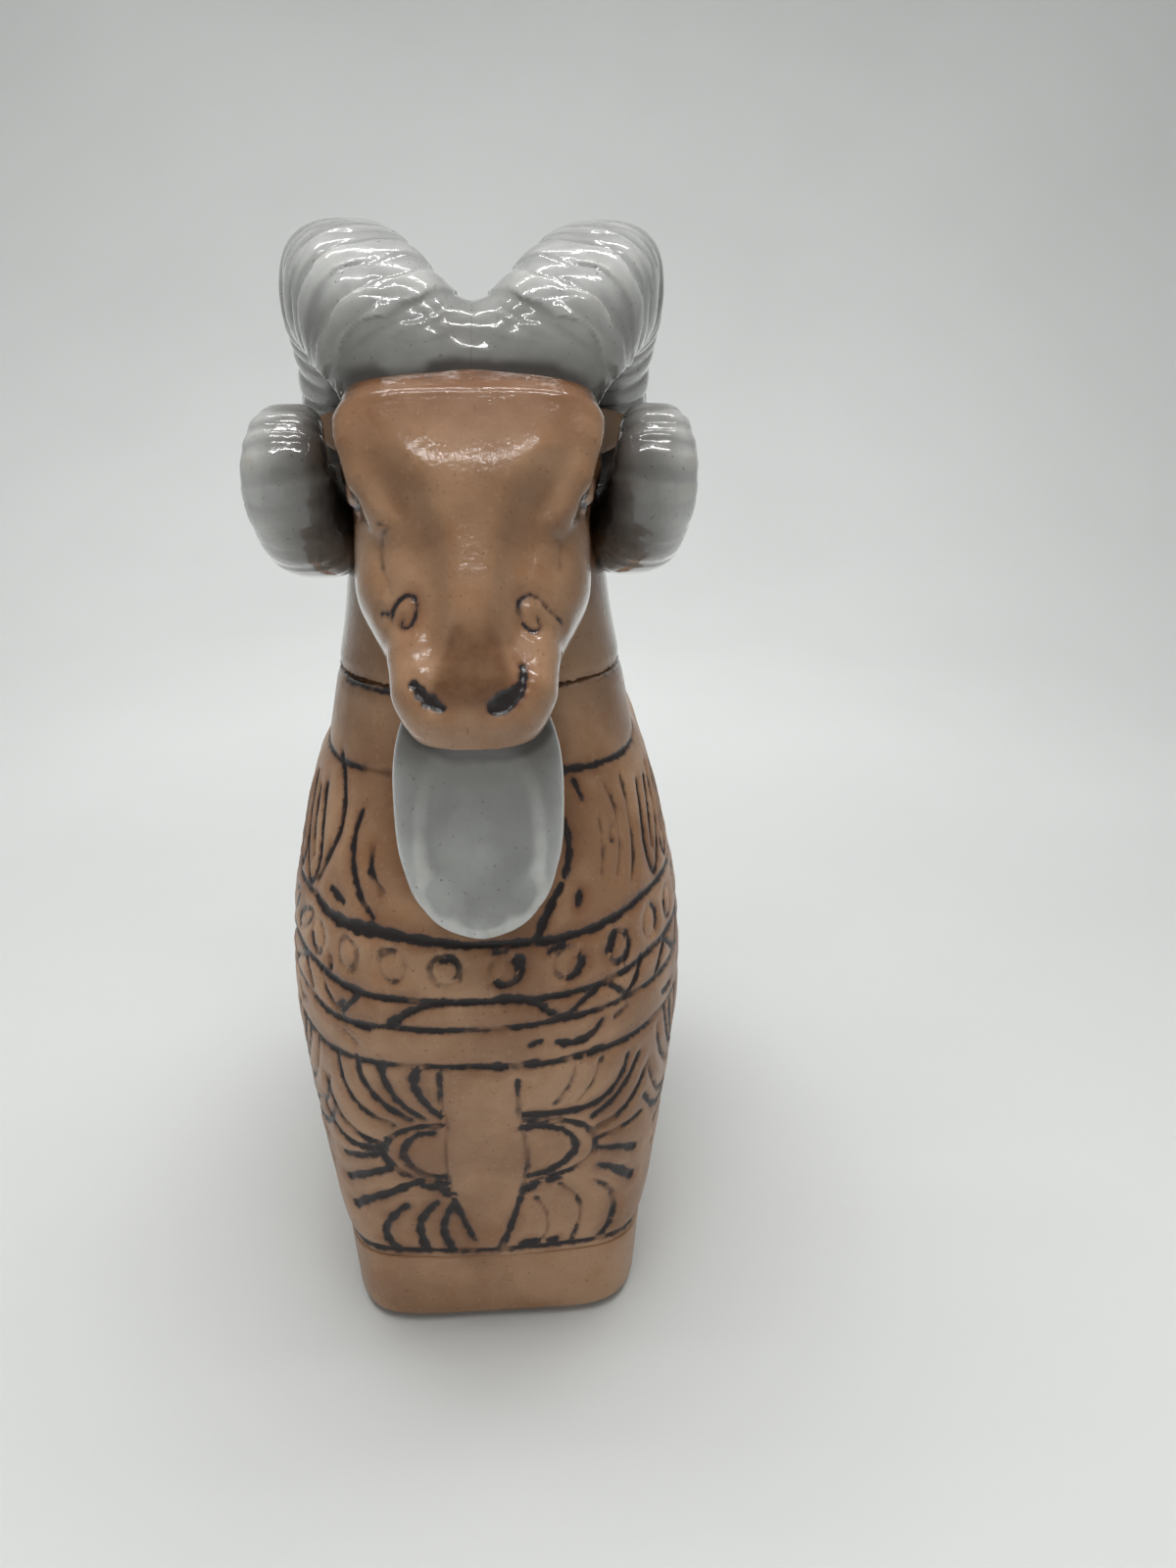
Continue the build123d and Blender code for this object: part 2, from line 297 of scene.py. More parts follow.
def rod(p, stops, power=2.0):
    """The field of a rod through stops of x, y, z and radius, and the place along it. It is
    round at a power of 2, and above that flatter at its sides."""
    stops = np.asarray(stops, dtype=float)
    points, radii = stops[:, :3], stops[:, 3]
    places = np.concatenate(([0.0], np.cumsum(np.linalg.norm(np.diff(points, axis=0), axis=1))))
    best, place = np.full(len(p), 1e9), np.zeros(len(p))
    for a, b, start, end in zip(points[:-1], points[1:], places[:-1], places[1:]):
        t = np.clip((p - a) @ (b - a) / (end - start) ** 2, 0.0, 1.0)
        offset = p - a - t[:, None] * (b - a)
        distance = np.linalg.norm(offset, axis=1)
        if power != 2.0:
            across, rest = np.abs(offset[:, 0]), np.hypot(offset[:, 1], offset[:, 2])
            distance = (across**power + rest**power) ** (1 / power)
        nearer = distance < best
        best = np.where(nearer, distance, best)
        place = np.where(nearer, start + t * (end - start), place)
    return best - np.interp(place, places, radii), place


# ---- the forms ---------------------------------------------------------------------------------
def torso(p):
    x, y, z = p.T
    half_width, front, widest, back, power = (curve(TORSO, i, z) for i in range(1, 6))
    reach = np.where(y < widest, widest - front, back - widest)
    side = squarish(x, y - widest, half_width, reach, power)
    return trim(side, z - TORSO[-1][0], LOFT_EDGE)


def neck(p):
    x, y, z = p.T
    half_width, half_depth, middle = (curve(NECK, i, z) for i in range(1, 4))
    side = squarish(x, y - middle, half_width, half_depth, NECK_POWER)
    return trim(side, z - NECK[-1][0], LOFT_EDGE)


def body_form(p):
    return join(torso(p), neck(p), BODY_BLEND)


def body_clay(p):
    z = p[:, 2]
    return np.maximum(body_form(p), np.maximum(PLINTH_TOP - z, z - NECK_SEAM))


def to_face(p):
    """Places told as distance right, distance down the face and depth behind the face plane."""
    y, z = p[:, 1] - BROW[0], p[:, 2] - BROW[1]
    down = -y * math.sin(FACE_LEAN) - z * math.cos(FACE_LEAN)
    depth = y * math.cos(FACE_LEAN) - z * math.sin(FACE_LEAN)
    return np.stack([p[:, 0], down, depth], axis=1)


def from_face(q):
    """The points at such places."""
    y = BROW[0] - q[:, 1] * math.sin(FACE_LEAN) + q[:, 2] * math.cos(FACE_LEAN)
    z = BROW[1] - q[:, 1] * math.cos(FACE_LEAN) - q[:, 2] * math.sin(FACE_LEAN)
    return np.stack([q[:, 0], y, z], axis=1)


def slab(q, rows, power):
    """A form lofted down the face from a table's rows."""
    down, depth = q[:, 1], q[:, 2]
    half_width, set_back, thickness = (curve(rows, i, down) for i in range(1, 4))
    along = depth - set_back - thickness / 2
    side = squarish(q[:, 0], along, half_width, thickness / 2, power)
    ends = np.maximum(rows[0][0] - down, down - rows[-1][0])
    return trim(side, ends, LOFT_EDGE)


def head_form(p):
    q = to_face(p)
    q[:, 0] = np.abs(q[:, 0])
    form = join(slab(q, BRIDGE, BRIDGE_POWER), slab(q, CHEEKS, CHEEK_POWER), 2.6)
    for change, stops, blend in (
        (join, NOSE_RIDGE, 3.0),
        (join, BROW_RIDGE, 3.4),
        (carve, EYE_HOLLOW, 3.0),
        (carve, NOSE_GROOVE, 2.6),
        (join, MUZZLE_SIDE, 3.2),
    ):
        form = change(form, rod(q, stops)[0], blend)
    form = carve(form, ball(q, *EYE_SOCKET), 1.8)
    form = join(form, ball(q, *EYE_BALL), 0.6)
    return join(form, neck(p), 5.0)


def head_clay(p):
    return np.maximum(head_form(p), NECK_SEAM - p[:, 2])


HORN_LINE = spline(HORN, 3)
HORN_LENGTH = float(np.linalg.norm(np.diff(HORN_LINE[:, :3], axis=0), axis=1).sum())


def horns_form(p):
    """Both horns, which run together over the forehead."""
    across = np.abs(p[:, 0])
    folded = np.stack([across, p[:, 1], p[:, 2]], axis=1)
    form, place = rod(folded, HORN_LINE, HORN_POWER)
    middle = across < HORNS_MEET
    if middle.any():
        near = folded[middle]
        mirrored = near * np.array([-1.0, 1.0, 1.0])
        other = rod(mirrored, HORN_LINE[:HORNS_MEET_STOPS], HORN_POWER)[0]
        both = join(form[middle], other, HORNS_BLEND)
        form[middle] = join(both, rod(near, SADDLE)[0], 5.0)
    wave = place + 0.6 * np.sin(0.33 * across + 0.21 * p[:, 1])
    wave = wave + 0.5 * np.sin(0.4 * p[:, 2] + 0.15 * across)
    ring = 1 - np.abs(np.cos(np.pi * wave / HORN_RING)) ** 3
    to_tip = HORN_LENGTH - place
    height = RING_HEIGHT * step(place, 10.0, 15.0) * (0.25 + 0.75 * step(to_tip, 55.0, 85.0))
    height = height * step(to_tip, 3.0, 15.0)
    return form - height * (ring - 0.4)


def head_stain_and_shade(p):
    """Up to one where the face is darkened warm: real stain on the pad between the nostrils,
    and painted shade on the strip under the horns and in the valleys. Two in the pocket
    inside the curls, where deep shade is painted."""
    q = to_face(p)
    q[:, 0] = np.abs(q[:, 0])
    x, down, depth = q.T
    front = 1 - step(depth, 6.0, 10.0)
    half_width = 4.0 + 0.3 * (down - 42.0)
    pad = (1 - step(x - half_width, -2.0, 1.4)) * step(down, 36.0, 46.0)
    pad = pad * (1 - step(down, 53.5, 57.0))
    # Painted shade on the strip that recedes under the horns.
    strip = 0.8 * (1 - step(down, -1.5, 1.8)) * (1 - step(depth, 9.0, 13.0))
    # Painted shade in the eye hollows and nose grooves.
    grooves = np.minimum(rod(q, EYE_HOLLOW)[0], rod(q, NOSE_GROOVE)[0])
    valley = 0.42 * (1 - step(grooves, -0.4, 2.0))
    warm = np.maximum(np.maximum(0.85 * pad * front, strip), valley)
    # Painted deep shade in the pocket between the head and the curls.
    pocket = step(depth, 13.0, 19.0) * step(x, 9.0, 14.0) * step(p[:, 2], 158.0, 168.0)
    return warm + 2 * pocket * (1 - step(horns_form(p), 5.0, 11.0))


def horn_shade(p):
    """Painted shade: the inner flanks of the curls are darkened to a deep brown."""
    inner = 1 - step(p[:, 0], 24.0, 40.0)
    return 0.9 * inner * (1 - step(p[:, 2], 183.0, 193.0))


def beard_shade(p):
    """Painted shade, growing towards the chin above it."""
    return 0.6 * step(p[:, 2], 114.0, 148.0)


def beard_clay(p):
    x, y, z = p.T
    half_width, front, back = (curve(BEARD, i, z) for i in range(1, 4))
    side = squarish(x, y - (front + back) / 2, half_width, (back - front) / 2, 2.2)
    behind = squarish(x, y - BEARD_BACK, 0.95 * half_width, BEARD_REACH, 2.2)
    ends = np.maximum(z - BEARD[-1][0], BEARD[0][0] - z)
    form = trim(join(side, behind, 3.0), ends, LOFT_EDGE)
    form = carve(form, ball(p, *BEARD_DISH), 1.6)
    (dent_x, dent_y, dent_z), radii = BEARD_DENT
    for dent in (-dent_x, dent_x):
        form = carve(form, ball(p, (dent, dent_y, dent_z), radii), 2.2)
    return np.maximum(form, BEARD_GAP - body_form(p))


def plinth_form(p, inset):
    x, y, z = p.T
    narrower = PLINTH_DRAFT * (1 - z / PLINTH_TOP) + inset
    return squarish(x, y, PLINTH_HALF_WIDTH - narrower, PLINTH_HALF_LENGTH - narrower, PLINTH_POWER)


def plinth_clay(p):
    z = p[:, 2]
    form = trim(plinth_form(p, 0.0), -z, PLINTH_EDGE)
    form = np.maximum(form, z - PLINTH_TOP)
    recess = np.maximum(plinth_form(p, PLATE_INSET), z - PLATE_THICKNESS)
    return np.maximum(form, -recess)


def plate_clay(p):
    x, y, z = p.T
    vent = VENT_RADIUS - np.hypot(x, y - VENT_Y)
    level = np.maximum(-z, z - PLATE_THICKNESS)
    return np.maximum(plinth_form(p, PLATE_INSET + PLATE_GAP), np.maximum(level, vent))


def ear_clay(p):
    sweep = EAR_TIP - EAR_ROOT
    length = np.linalg.norm(sweep)
    sweep = sweep / length
    across = np.cross(sweep, (0.0, 0.0, 1.0))
    across = across / np.linalg.norm(across)
    place = (p - EAR_ROOT) @ sweep
    height = (p - EAR_ROOT) @ np.cross(across, sweep)
    swell = np.sin(np.pi * (0.12 + 0.86 * np.clip(place / length, 0, 1))) ** 0.8
    half_height = EAR_NARROWEST + EAR_SWELL * swell
    cup = EAR_CUP * (1 - (height / EAR_WIDEST) ** 2)
    side = squarish(height, (p - EAR_ROOT) @ across + cup, half_height, EAR_THICKNESS, 2.0)
    return trim(side, np.maximum(-place, place - length), 1.2)


TAIL_LINE = spline(TAIL, 4)


def tail_clay(p):
    return rod(p * np.array([0.72, 1.0, 1.0]), TAIL_LINE)[0]


# ---- places on the skin ----------------------------------------------------------------------
# A place on the body is told by u, the distance round from the middle of the chest towards
# +X, and z, its height.
AXIS_Y = -20.0
ANGLES = np.linspace(-math.pi, math.pi, 241)
LEVELS = np.arange(PLINTH_TOP, NECK_SEAM + 2.0, 1.5)


def body_surface(starts, directions, reach, rounds):
    """How far off the body's surface is, along directions from starts inside it."""
    inner, outer = np.zeros(len(starts)), np.full(len(starts), reach)
    for _ in range(rounds):
        middle = (inner + outer) / 2
        inside = body_form(starts + middle[:, None] * directions) < 0
        inner, outer = np.where(inside, middle, inner), np.where(inside, outer, middle)
    return inner


def skin_rings():
    """Radius from the upright axis, and distance round, for each level and angle."""
    level, angle = (grid.ravel() for grid in np.meshgrid(LEVELS, ANGLES, indexing="ij"))
    starts = np.stack([0 * level, np.full(len(level), AXIS_Y), level], axis=1)
    outwards = np.stack([np.sin(angle), -np.cos(angle), 0 * angle], axis=1)
    radius = body_surface(starts, outwards, 110.0, 16).reshape(len(LEVELS), len(ANGLES))
    x, y = radius * np.sin(ANGLES), -radius * np.cos(ANGLES)
    steps = np.hypot(np.diff(x, axis=1), np.diff(y, axis=1))
    around = np.concatenate([np.zeros((len(LEVELS), 1)), np.cumsum(steps, axis=1)], axis=1)
    around -= around[:, len(ANGLES) // 2][:, None]
    return radius, around


RADII, AROUND = skin_rings()


def at_level(table, z):
    """A row of a table of rings, between the two nearest levels."""
    row = float(np.clip((z - LEVELS[0]) / (LEVELS[1] - LEVELS[0]), 0, len(LEVELS) - 1.001))
    part = row - int(row)
    return table[int(row)] * (1 - part) + table[int(row) + 1] * part


def skin_by_angle(angle, z):
    angle = (angle + math.pi) % (2 * math.pi) - math.pi
    radius = np.interp(angle, ANGLES, at_level(RADII, z))
    return (radius * math.sin(angle), AXIS_Y - radius * math.cos(angle), z)


def skin(places):
    """The points on the body at (u, z) places."""
    points = []
    for u, z in places:
        around = at_level(AROUND, z)
        whole = around[-1] - around[0]
        u = (u - around[0]) % whole + around[0]
        points.append(skin_by_angle(np.interp(u, around, ANGLES), z))
    return np.array(points)


def half_way_round(z):
    return float(at_level(AROUND, z)[-1])


def first_inside(form, starts, direction, reach):
    """Where lines from the starts first meet a form."""
    steps = np.arange(0.0, reach, 0.25)
    points = starts[:, None, :] + steps[None, :, None] * np.array(direction)
    inside = form(points.reshape(-1, 3)).reshape(points.shape[:2]) < 0
    return points[np.arange(len(starts)), inside.argmax(axis=1)]


def on_face(places):
    """Points on the head at (distance right, distance down the face) places."""
    q = np.array([(x, down, -8.0) for x, down in places])
    inward = from_face(np.eye(3)[2:])[0] - from_face(np.zeros((1, 3)))[0]
    return first_inside(head_form, from_face(q), inward, 40)


def on_cheek(places, side):
    """Points on one side of the head at (distance down the face, depth) places."""
    q = np.array([(side * 30.0, down, depth) for down, depth in places])
    return first_inside(head_form, from_face(q), (-side, 0.0, 0.0), 25)


# ---- incised lines -----------------------------------------------------------------------------
hand = np.random.default_rng(11)  # the unsteadiness of the hand that drew the guessed ornament


class Line:
    """One incised line: points, half widths, how dark its stain is and how deep it is cut."""

    def __init__(self, points, widths, stain, depth):
        self.points = np.asarray(points)
        wobble = 1.1 + 0.22 * np.sin(1.1 * np.arange(len(points)) + hand.uniform(0, 6))
        self.half = np.linspace(widths[0], widths[1], len(points)) / 2 * wobble
        self.stain = stain
        self.depth = depth


def body_line(start_width, end_width, stain, *places, depth=0.5):
    """A line on the body through (u, z) places."""
    return Line(skin(spline(places, 6)), (start_width, end_width), stain, depth)


def shaken(places, amount=0.35):
    return [tuple(np.array(place) + hand.normal(0, amount, 2)) for place in places]


# The front of the body. Each row is start width, end width, darkness of the stain, and the
# (u, z) places that the line runs through.
FAN_LEFT = [
    (1.7, 0.9, 1.0, (-13.5, 71.0), (-14.3, 67.6), (-13.2, 64.6), (-11.6, 61.6), (-9.2, 58.8)),
    (1.5, 0.8, 0.9, (-20.2, 71.3), (-20.6, 69.3), (-19.0, 65.0), (-16.6, 61.6), (-12.8, 58.4)),
    (0.9, 1.2, 0.8, (-26.2, 71.6), (-25.4, 67.6), (-23.2, 64.0), (-20.0, 61.0), (-15.6, 58.0)),
    (0.7, 1.1, 0.5, (-31.6, 70.2), (-30.2, 64.6), (-27.2, 60.4), (-22.6, 57.4), (-19.0, 56.2)),
    (0.7, 1.2, 0.5, (-36.6, 62.8), (-34.0, 57.4), (-30.4, 53.4), (-25.4, 51.2), (-22.4, 50.8)),
    (0.9, 1.5, 0.8, (-38.5, 55.0), (-34.5, 50.8), (-29.0, 48.6), (-24.5, 48.8), (-21.6, 49.6)),
    (1.0, 1.2, 0.9, (-31.4, 44.4), (-26.0, 46.2), (-22.4, 47.8)),
    (1.3, 1.5, 1.0, (-31.2, 37.6), (-26.0, 40.8), (-22.0, 43.0), (-19.8, 44.6)),
    (1.6, 1.3, 1.0, (-29.8, 30.6), (-26.4, 33.4), (-21.6, 36.2), (-17.2, 39.0), (-13.8, 40.6)),
    (0.9, 1.9, 1.0, (-14.2, 38.8), (-11.2, 38.2), (-8.4, 36.2)),
    (1.0, 1.6, 1.0, (-17.8, 33.2), (-20.8, 30.0), (-22.6, 26.4), (-22.2, 23.2), (-20.6, 20.4)),
    (1.0, 1.5, 1.0, (-11.4, 34.2), (-13.9, 31.2), (-15.3, 27.6), (-15.1, 23.8), (-14.0, 20.4)),
    (1.0, 1.5, 1.0, (-8.4, 33.4), (-9.8, 30.0), (-10.5, 26.6), (-10.0, 23.4), (-8.8, 20.4)),
    (0.9, 1.0, 0.7, (-9.4, 56.5), (-13.2, 56.2), (-17.2, 54.6), (-20.4, 52.0)),
    (1.2, 1.6, 1.0, (-20.4, 52.0), (-21.7, 48.4), (-20.2, 44.6)),
    (1.3, 0.9, 0.7, (-20.2, 44.6), (-17.2, 42.2), (-13.2, 40.4), (-9.2, 39.4)),
    (1.1, 0.7, 0.8, (-11.2, 54.3), (-13.6, 54.2), (-16.2, 52.2)),
    (1.0, 1.4, 0.9, (-16.2, 52.2), (-17.5, 48.6), (-16.5, 45.2)),
    (1.3, 0.9, 0.8, (-16.5, 45.2), (-13.8, 42.5), (-9.2, 41.2)),
    (0.7, 0.9, 0.3, (-9.2, 70.4), (-9.3, 64.0), (-8.6, 57.6), (-9.0, 49.0), (-9.0, 42.0), (-8.2, 35.0)),
    (1.1, 0.7, 0.8, (-8.2, 35.0), (-6.2, 28.6), (-4.2, 23.0)),
]
FAN_RIGHT = [
    (0.7, 1.4, 0.9, (28.6, 68.4), (27.2, 65.2), (24.4, 61.8), (20.4, 59.4), (15.5, 58.6), (6.6, 58.6)),
    (0.8, 1.3, 0.8, (31.8, 67.2), (28.6, 63.0), (24.6, 59.0), (20.4, 56.2)),
    (0.8, 1.2, 0.7, (34.0, 62.4), (30.4, 58.0), (26.2, 54.6), (21.6, 52.8)),
    (0.6, 0.6, 0.2, (16.8, 70.0), (15.2, 65.2), (12.4, 61.0)),
    (0.6, 0.6, 0.2, (22.0, 70.2), (20.4, 65.2), (17.2, 61.0)),
    (1.0, 0.8, 0.5, (21.6, 50.0), (27.4, 50.6), (32.4, 51.4)),
    (0.7, 1.4, 0.7, (21.4, 46.8), (26.2, 45.2), (30.6, 42.8)),
    (0.8, 2.0, 1.0, (21.6, 41.8), (25.2, 39.4), (29.6, 35.2)),
    (0.5, 1.2, 0.4, (20.8, 37.6), (24.0, 34.2), (25.2, 29.6), (24.2, 24.0)),
    (1.2, 1.0, 0.9, (24.2, 24.0), (22.0, 21.2)),
    (0.6, 0.7, 0.25, (13.4, 38.0), (16.8, 33.8), (17.8, 28.4), (16.2, 22.0)),
    (0.6, 0.7, 0.2, (8.6, 34.4), (10.6, 30.0), (11.0, 25.6), (9.6, 21.4)),
    (1.6, 1.0, 1.0, (7.0, 37.0), (8.8, 38.4)),
    (1.2, 0.9, 0.8, (11.4, 39.2), (13.2, 39.4)),
    (1.0, 1.0, 0.6, (6.0, 56.8), (11.0, 56.6), (15.6, 55.6), (19.0, 53.2), (20.8, 50.2)),
    (0.9, 0.8, 0.4, (20.8, 50.2), (20.4, 46.0), (17.6, 43.0), (13.6, 41.0), (8.0, 39.4)),
    (1.4, 1.0, 1.0, (6.2, 55.0), (10.0, 55.2), (13.8, 53.8)),
    (0.8, 1.4, 0.9, (13.8, 53.8), (16.2, 50.8), (16.4, 47.4), (14.2, 44.2)),
    (1.4, 1.3, 1.0, (14.2, 44.2), (11.2, 42.0), (7.6, 40.6)),
    (0.7, 0.8, 0.3, (5.4, 68.0), (5.4, 60.0), (6.2, 54.0), (6.9, 47.0), (6.8, 42.0), (5.4, 34.4)),
    (0.8, 1.1, 0.6, (5.4, 34.4), (3.4, 27.0), (1.2, 21.0)),
    (2.0, 1.3, 1.0, (6.2, 21.2), (8.2, 21.8)),
    (1.1, 0.9, 0.7, (11.4, 21.6), (12.6, 21.9)),
]
CHEST = [
    (0.9, 0.8, 0.8, (-32.6, 123.4), (-31.0, 121.0), (-30.0, 116.6), (-31.2, 111.6), (-35.2, 106.4),
     (-39.4, 101.6)),
    (0.6, 1.2, 0.9, (-24.4, 116.2), (-26.4, 112.0), (-26.9, 107.6), (-26.0, 104.6)),
    (1.2, 0.6, 0.8, (-26.0, 104.6), (-24.3, 102.0), (-21.4, 99.6)),
    (0.7, 1.4, 0.5, (-21.6, 111.0), (-22.0, 107.0), (-20.0, 104.2)),
    (1.4, 1.0, 0.9, (-33.6, 101.6), (-29.6, 100.4)),
    (1.4, 0.7, 0.9, (15.4, 123.0), (19.6, 122.8), (24.0, 122.4)),
    (0.9, 0.6, 0.6, (18.3, 121.0), (19.8, 118.0)),
    (0.9, 1.1, 0.9, (15.6, 115.4), (16.5, 112.0), (16.2, 108.6), (15.4, 106.6)),
    (0.9, 1.4, 1.0, (14.7, 105.4), (12.8, 103.0), (11.2, 100.4), (9.6, 97.2)),
    (0.8, 0.5, 0.4, (27.0, 110.0), (27.4, 112.0), (28.8, 111.6)),
    (1.2, 0.8, 0.9, (18.4, 103.4), (17.8, 101.4)),
    (0.5, 0.6, 0.15, (26.0, 119.0), (29.0, 114.0), (29.6, 108.0), (28.4, 104.0)),
    (0.5, 0.6, 0.15, (24.0, 114.0), (24.6, 109.6), (24.0, 105.4)),
    (0.6, 0.6, 0.2, (31.6, 119.0), (33.4, 113.0), (34.0, 106.8), (33.0, 101.6)),
    (0.6, 0.8, 0.5, (-26.0, 122.6), (-18.0, 122.8)),
    (0.6, 0.9, 0.6, (-32.4, 136.8), (-25.0, 137.2), (-18.0, 137.0)),
]
BEAD_DASHES = [
    (0.9, 0.7, 0.5, (-33.2, 89.4), (-33.0, 87.4)),
    (0.5, 0.9, 0.5, (-8.0, 93.4), (-6.0, 94.2)),
    (1.0, 0.6, 0.7, (2.2, 95.0), (4.0, 95.3)),
    (1.9, 1.3, 1.0, (6.1, 93.4), (6.4, 91.8)),
    (0.7, 1.0, 0.8, (12.0, 94.5), (14.2, 95.3)),
    (0.9, 0.6, 0.7, (18.6, 92.0), (17.8, 89.8), (16.2, 89.0)),
    (1.2, 1.7, 1.0, (26.2, 94.6), (24.5, 91.8)),
    (1.0, 0.7, 0.7, (29.2, 93.4), (30.1, 91.0), (28.4, 88.6)),
]
LEAF_BAND = [
    (1.6, 0.7, 1.0, (-17.8, 80.9), (-16.4, 82.0), (-13.6, 84.0), (-10.6, 85.2)),
    (0.7, 1.3, 1.0, (-10.6, 85.2), (-7.6, 85.9)),
    (1.6, 1.2, 1.0, (2.0, 86.2), (5.0, 86.2), (7.8, 85.7)),
    (1.2, 0.8, 0.9, (7.8, 85.7), (10.2, 84.2), (11.8, 82.8), (13.9, 81.6)),
    (0.8, 0.9, 0.8, (13.9, 81.6), (15.9, 82.2), (17.8, 83.6), (20.4, 85.2), (23.8, 86.4)),
    (0.8, 0.8, 0.8, (24.6, 85.4), (27.2, 83.2), (28.6, 81.8)),
    (0.9, 0.9, 0.9, (28.6, 81.8), (31.4, 84.0), (33.6, 87.4)),
    (0.8, 0.7, 0.6, (-24.5, 85.4), (-27.4, 82.4), (-30.6, 79.2)),
    (0.8, 0.7, 0.6, (-37.0, 86.0), (-34.4, 82.6), (-31.4, 80.6), (-29.0, 82.4)),
    (0.6, 0.7, 0.4, (-29.2, 76.2), (-26.0, 74.4)),
    (0.7, 0.8, 0.5, (7.8, 76.2), (9.8, 76.9)),
    (1.3, 1.4, 1.0, (13.2, 76.2), (15.8, 75.4), (18.6, 75.8)),
    (1.2, 0.7, 0.9, (18.6, 75.8), (20.8, 77.0), (22.4, 78.8)),
    (0.6, 0.7, 0.5, (25.4, 78.4), (28.4, 79.4)),
]
SHOULDER_LINE = [(24.0, 122.6), (34.0, 122.4), (46.0, 123.4), (58.0, 126.0)]
SHOULDER_BAND = [
    (1.0, 2.3, 1.0, (-40.4, 98.6), (-36.6, 97.4), (-31.0, 97.0), (-25.0, 97.2)),
    (2.3, 1.0, 1.0, (-25.0, 97.2), (-20.0, 97.6), (-14.5, 97.4), (-8.5, 97.0), (-4.0, 96.6)),
    (1.0, 1.3, 1.0, (-4.0, 96.6), (1.0, 96.6), (6.0, 96.6), (12.5, 96.4)),
    (1.2, 0.8, 0.9, (12.5, 96.4), (17.0, 96.6), (22.5, 96.7), (29.0, 97.2), (35.0, 98.0)),
]
# Darker stretches of the lines that run right round the body.
ACCENTS = [
    (1.2, 1.1, 1.0, (-28.6, 19.9), (-24.0, 20.2), (-20.0, 20.4)),
    (0.8, 1.3, 1.0, (-38.0, 86.6), (-34.0, 86.0), (-29.5, 85.7), (-23.0, 85.5)),
    (0.9, 1.2, 0.9, (-40.0, 79.2), (-35.0, 78.5), (-29.5, 78.6), (-23.0, 79.0)),
    (1.6, 1.3, 1.0, (1.4, 71.7), (3.0, 71.7)),
    (1.6, 1.5, 1.0, (7.2, 71.8), (9.2, 71.9)),
    (0.9, 1.4, 1.0, (14.0, 72.0), (18.0, 72.2), (22.0, 72.5)),
]
# The lines that run right round the body: height at the back, width, darkness of the stain,
# and the places that the front runs through.
HOOPS = [
    (98.0, 0.9, 0.7, (-40.4, 98.6), (-31.0, 97.0), (-14.5, 97.4), (1.0, 96.6), (17.0, 96.6),
     (35.0, 98.0)),
    (87.0, 0.9, 0.7, (-38.0, 86.6), (-30.0, 85.7), (-23.0, 85.5), (-8.5, 86.0), (8.0, 85.8),
     (23.5, 86.3), (36.4, 87.4)),
    (80.6, 0.8, 0.55, (-40.0, 79.2), (-29.5, 78.6), (-17.5, 79.9), (3.0, 80.3), (14.0, 81.0),
     (28.7, 81.4), (38.0, 81.0)),
    (72.0, 0.9, 0.6, (-36.0, 70.6), (-27.0, 71.0), (-17.8, 71.6), (-6.0, 72.0), (8.0, 71.6),
     (21.5, 72.2), (39.0, 72.6)),
    (20.2, 0.9, 0.7, (-28.4, 19.9), (-20.6, 20.3), (-8.6, 20.2), (1.4, 20.2), (12.0, 20.3),
     (24.0, 20.4), (29.0, 20.2)),
]


def hoop(back_height, width, stain, *front):
    """A line right round the body: the drawn front, and the rest from where it ends."""
    first, last = skin(front[:1])[0], skin(front[-1:])[0]
    start = math.atan2(last[0], AXIS_Y - last[1])
    end = math.atan2(first[0], AXIS_Y - first[1]) + 2 * math.pi
    parts = [body_line(width, width, stain, *front)]
    pieces = 10
    angles = np.linspace(start, end, pieces * 12 + 1)
    share = np.linspace(0, 1, len(angles))
    heights = last[2] + (first[2] - last[2]) * share
    heights += (back_height - heights) * np.sin(math.pi * share) ** 0.5
    heights += 0.35 * np.sin(2.6 * angles) * np.sin(math.pi * share)
    points = np.array([skin_by_angle(a, z) for a, z in zip(angles, heights)])
    for i in range(pieces):
        darkness = float(np.clip(stain * hand.uniform(0.55, 1.25), 0.2, 1.0))
        widths = width * hand.uniform(0.75, 1.25, 2)
        parts.append(Line(points[i * 12 : i * 12 + 13], widths, darkness, 0.5))
    return parts


def bead(u, z, radius=2.7):
    """A ring of the bead band: mostly faint, darker for part of its way."""
    turn = hand.uniform(0, 2 * math.pi)
    lines = []
    for start, end, width, stain in ((0.0, 4.4, 0.6, 0.2), (4.4, 6.28, 0.9, hand.uniform(0.5, 1.0))):
        places = [
            (u + radius * math.cos(turn + a), z + 1.05 * radius * math.sin(turn + a))
            for a in np.linspace(start, end, 9)
        ]
        lines.append(Line(skin(places), (width, width), stain, 0.35))
    return lines


def fan(middle, narrower):
    """The front's left half used on both sides of a middle line, for the sides and back."""
    lines = []
    for side in (-1, 1):
        for start_width, end_width, stain, *places in FAN_LEFT:
            shifted = [(middle(z) + side * narrower * u, z) for u, z in shaken(places)]
            darkness = float(np.clip(stain * hand.uniform(0.6, 1.2), 0.2, 1.0))
            lines.append(body_line(start_width * 0.95, end_width * 0.95, darkness, *shifted))
    return lines


def lock(u, low, high, wide):
    """A lock of fleece: a loop with a shorter stroke inside it."""
    bulge = wide * 0.96
    places = [(u - wide, high), (u - bulge, low + 5), (u, low), (u + bulge, low + 5), (u + wide, high)]
    inner = [(u + 0.6, high - 1.0), (u - 0.4, (low + high) / 2 + 1.0), (u + 0.2, low + 4.5)]
    darkness = hand.uniform(0.35, 0.85)
    return [
        body_line(0.7, 1.0, darkness, *shaken(places, 0.25)),
        body_line(0.6, 0.9, darkness * 0.8, *shaken(inner, 0.25), depth=0.4),
    ]


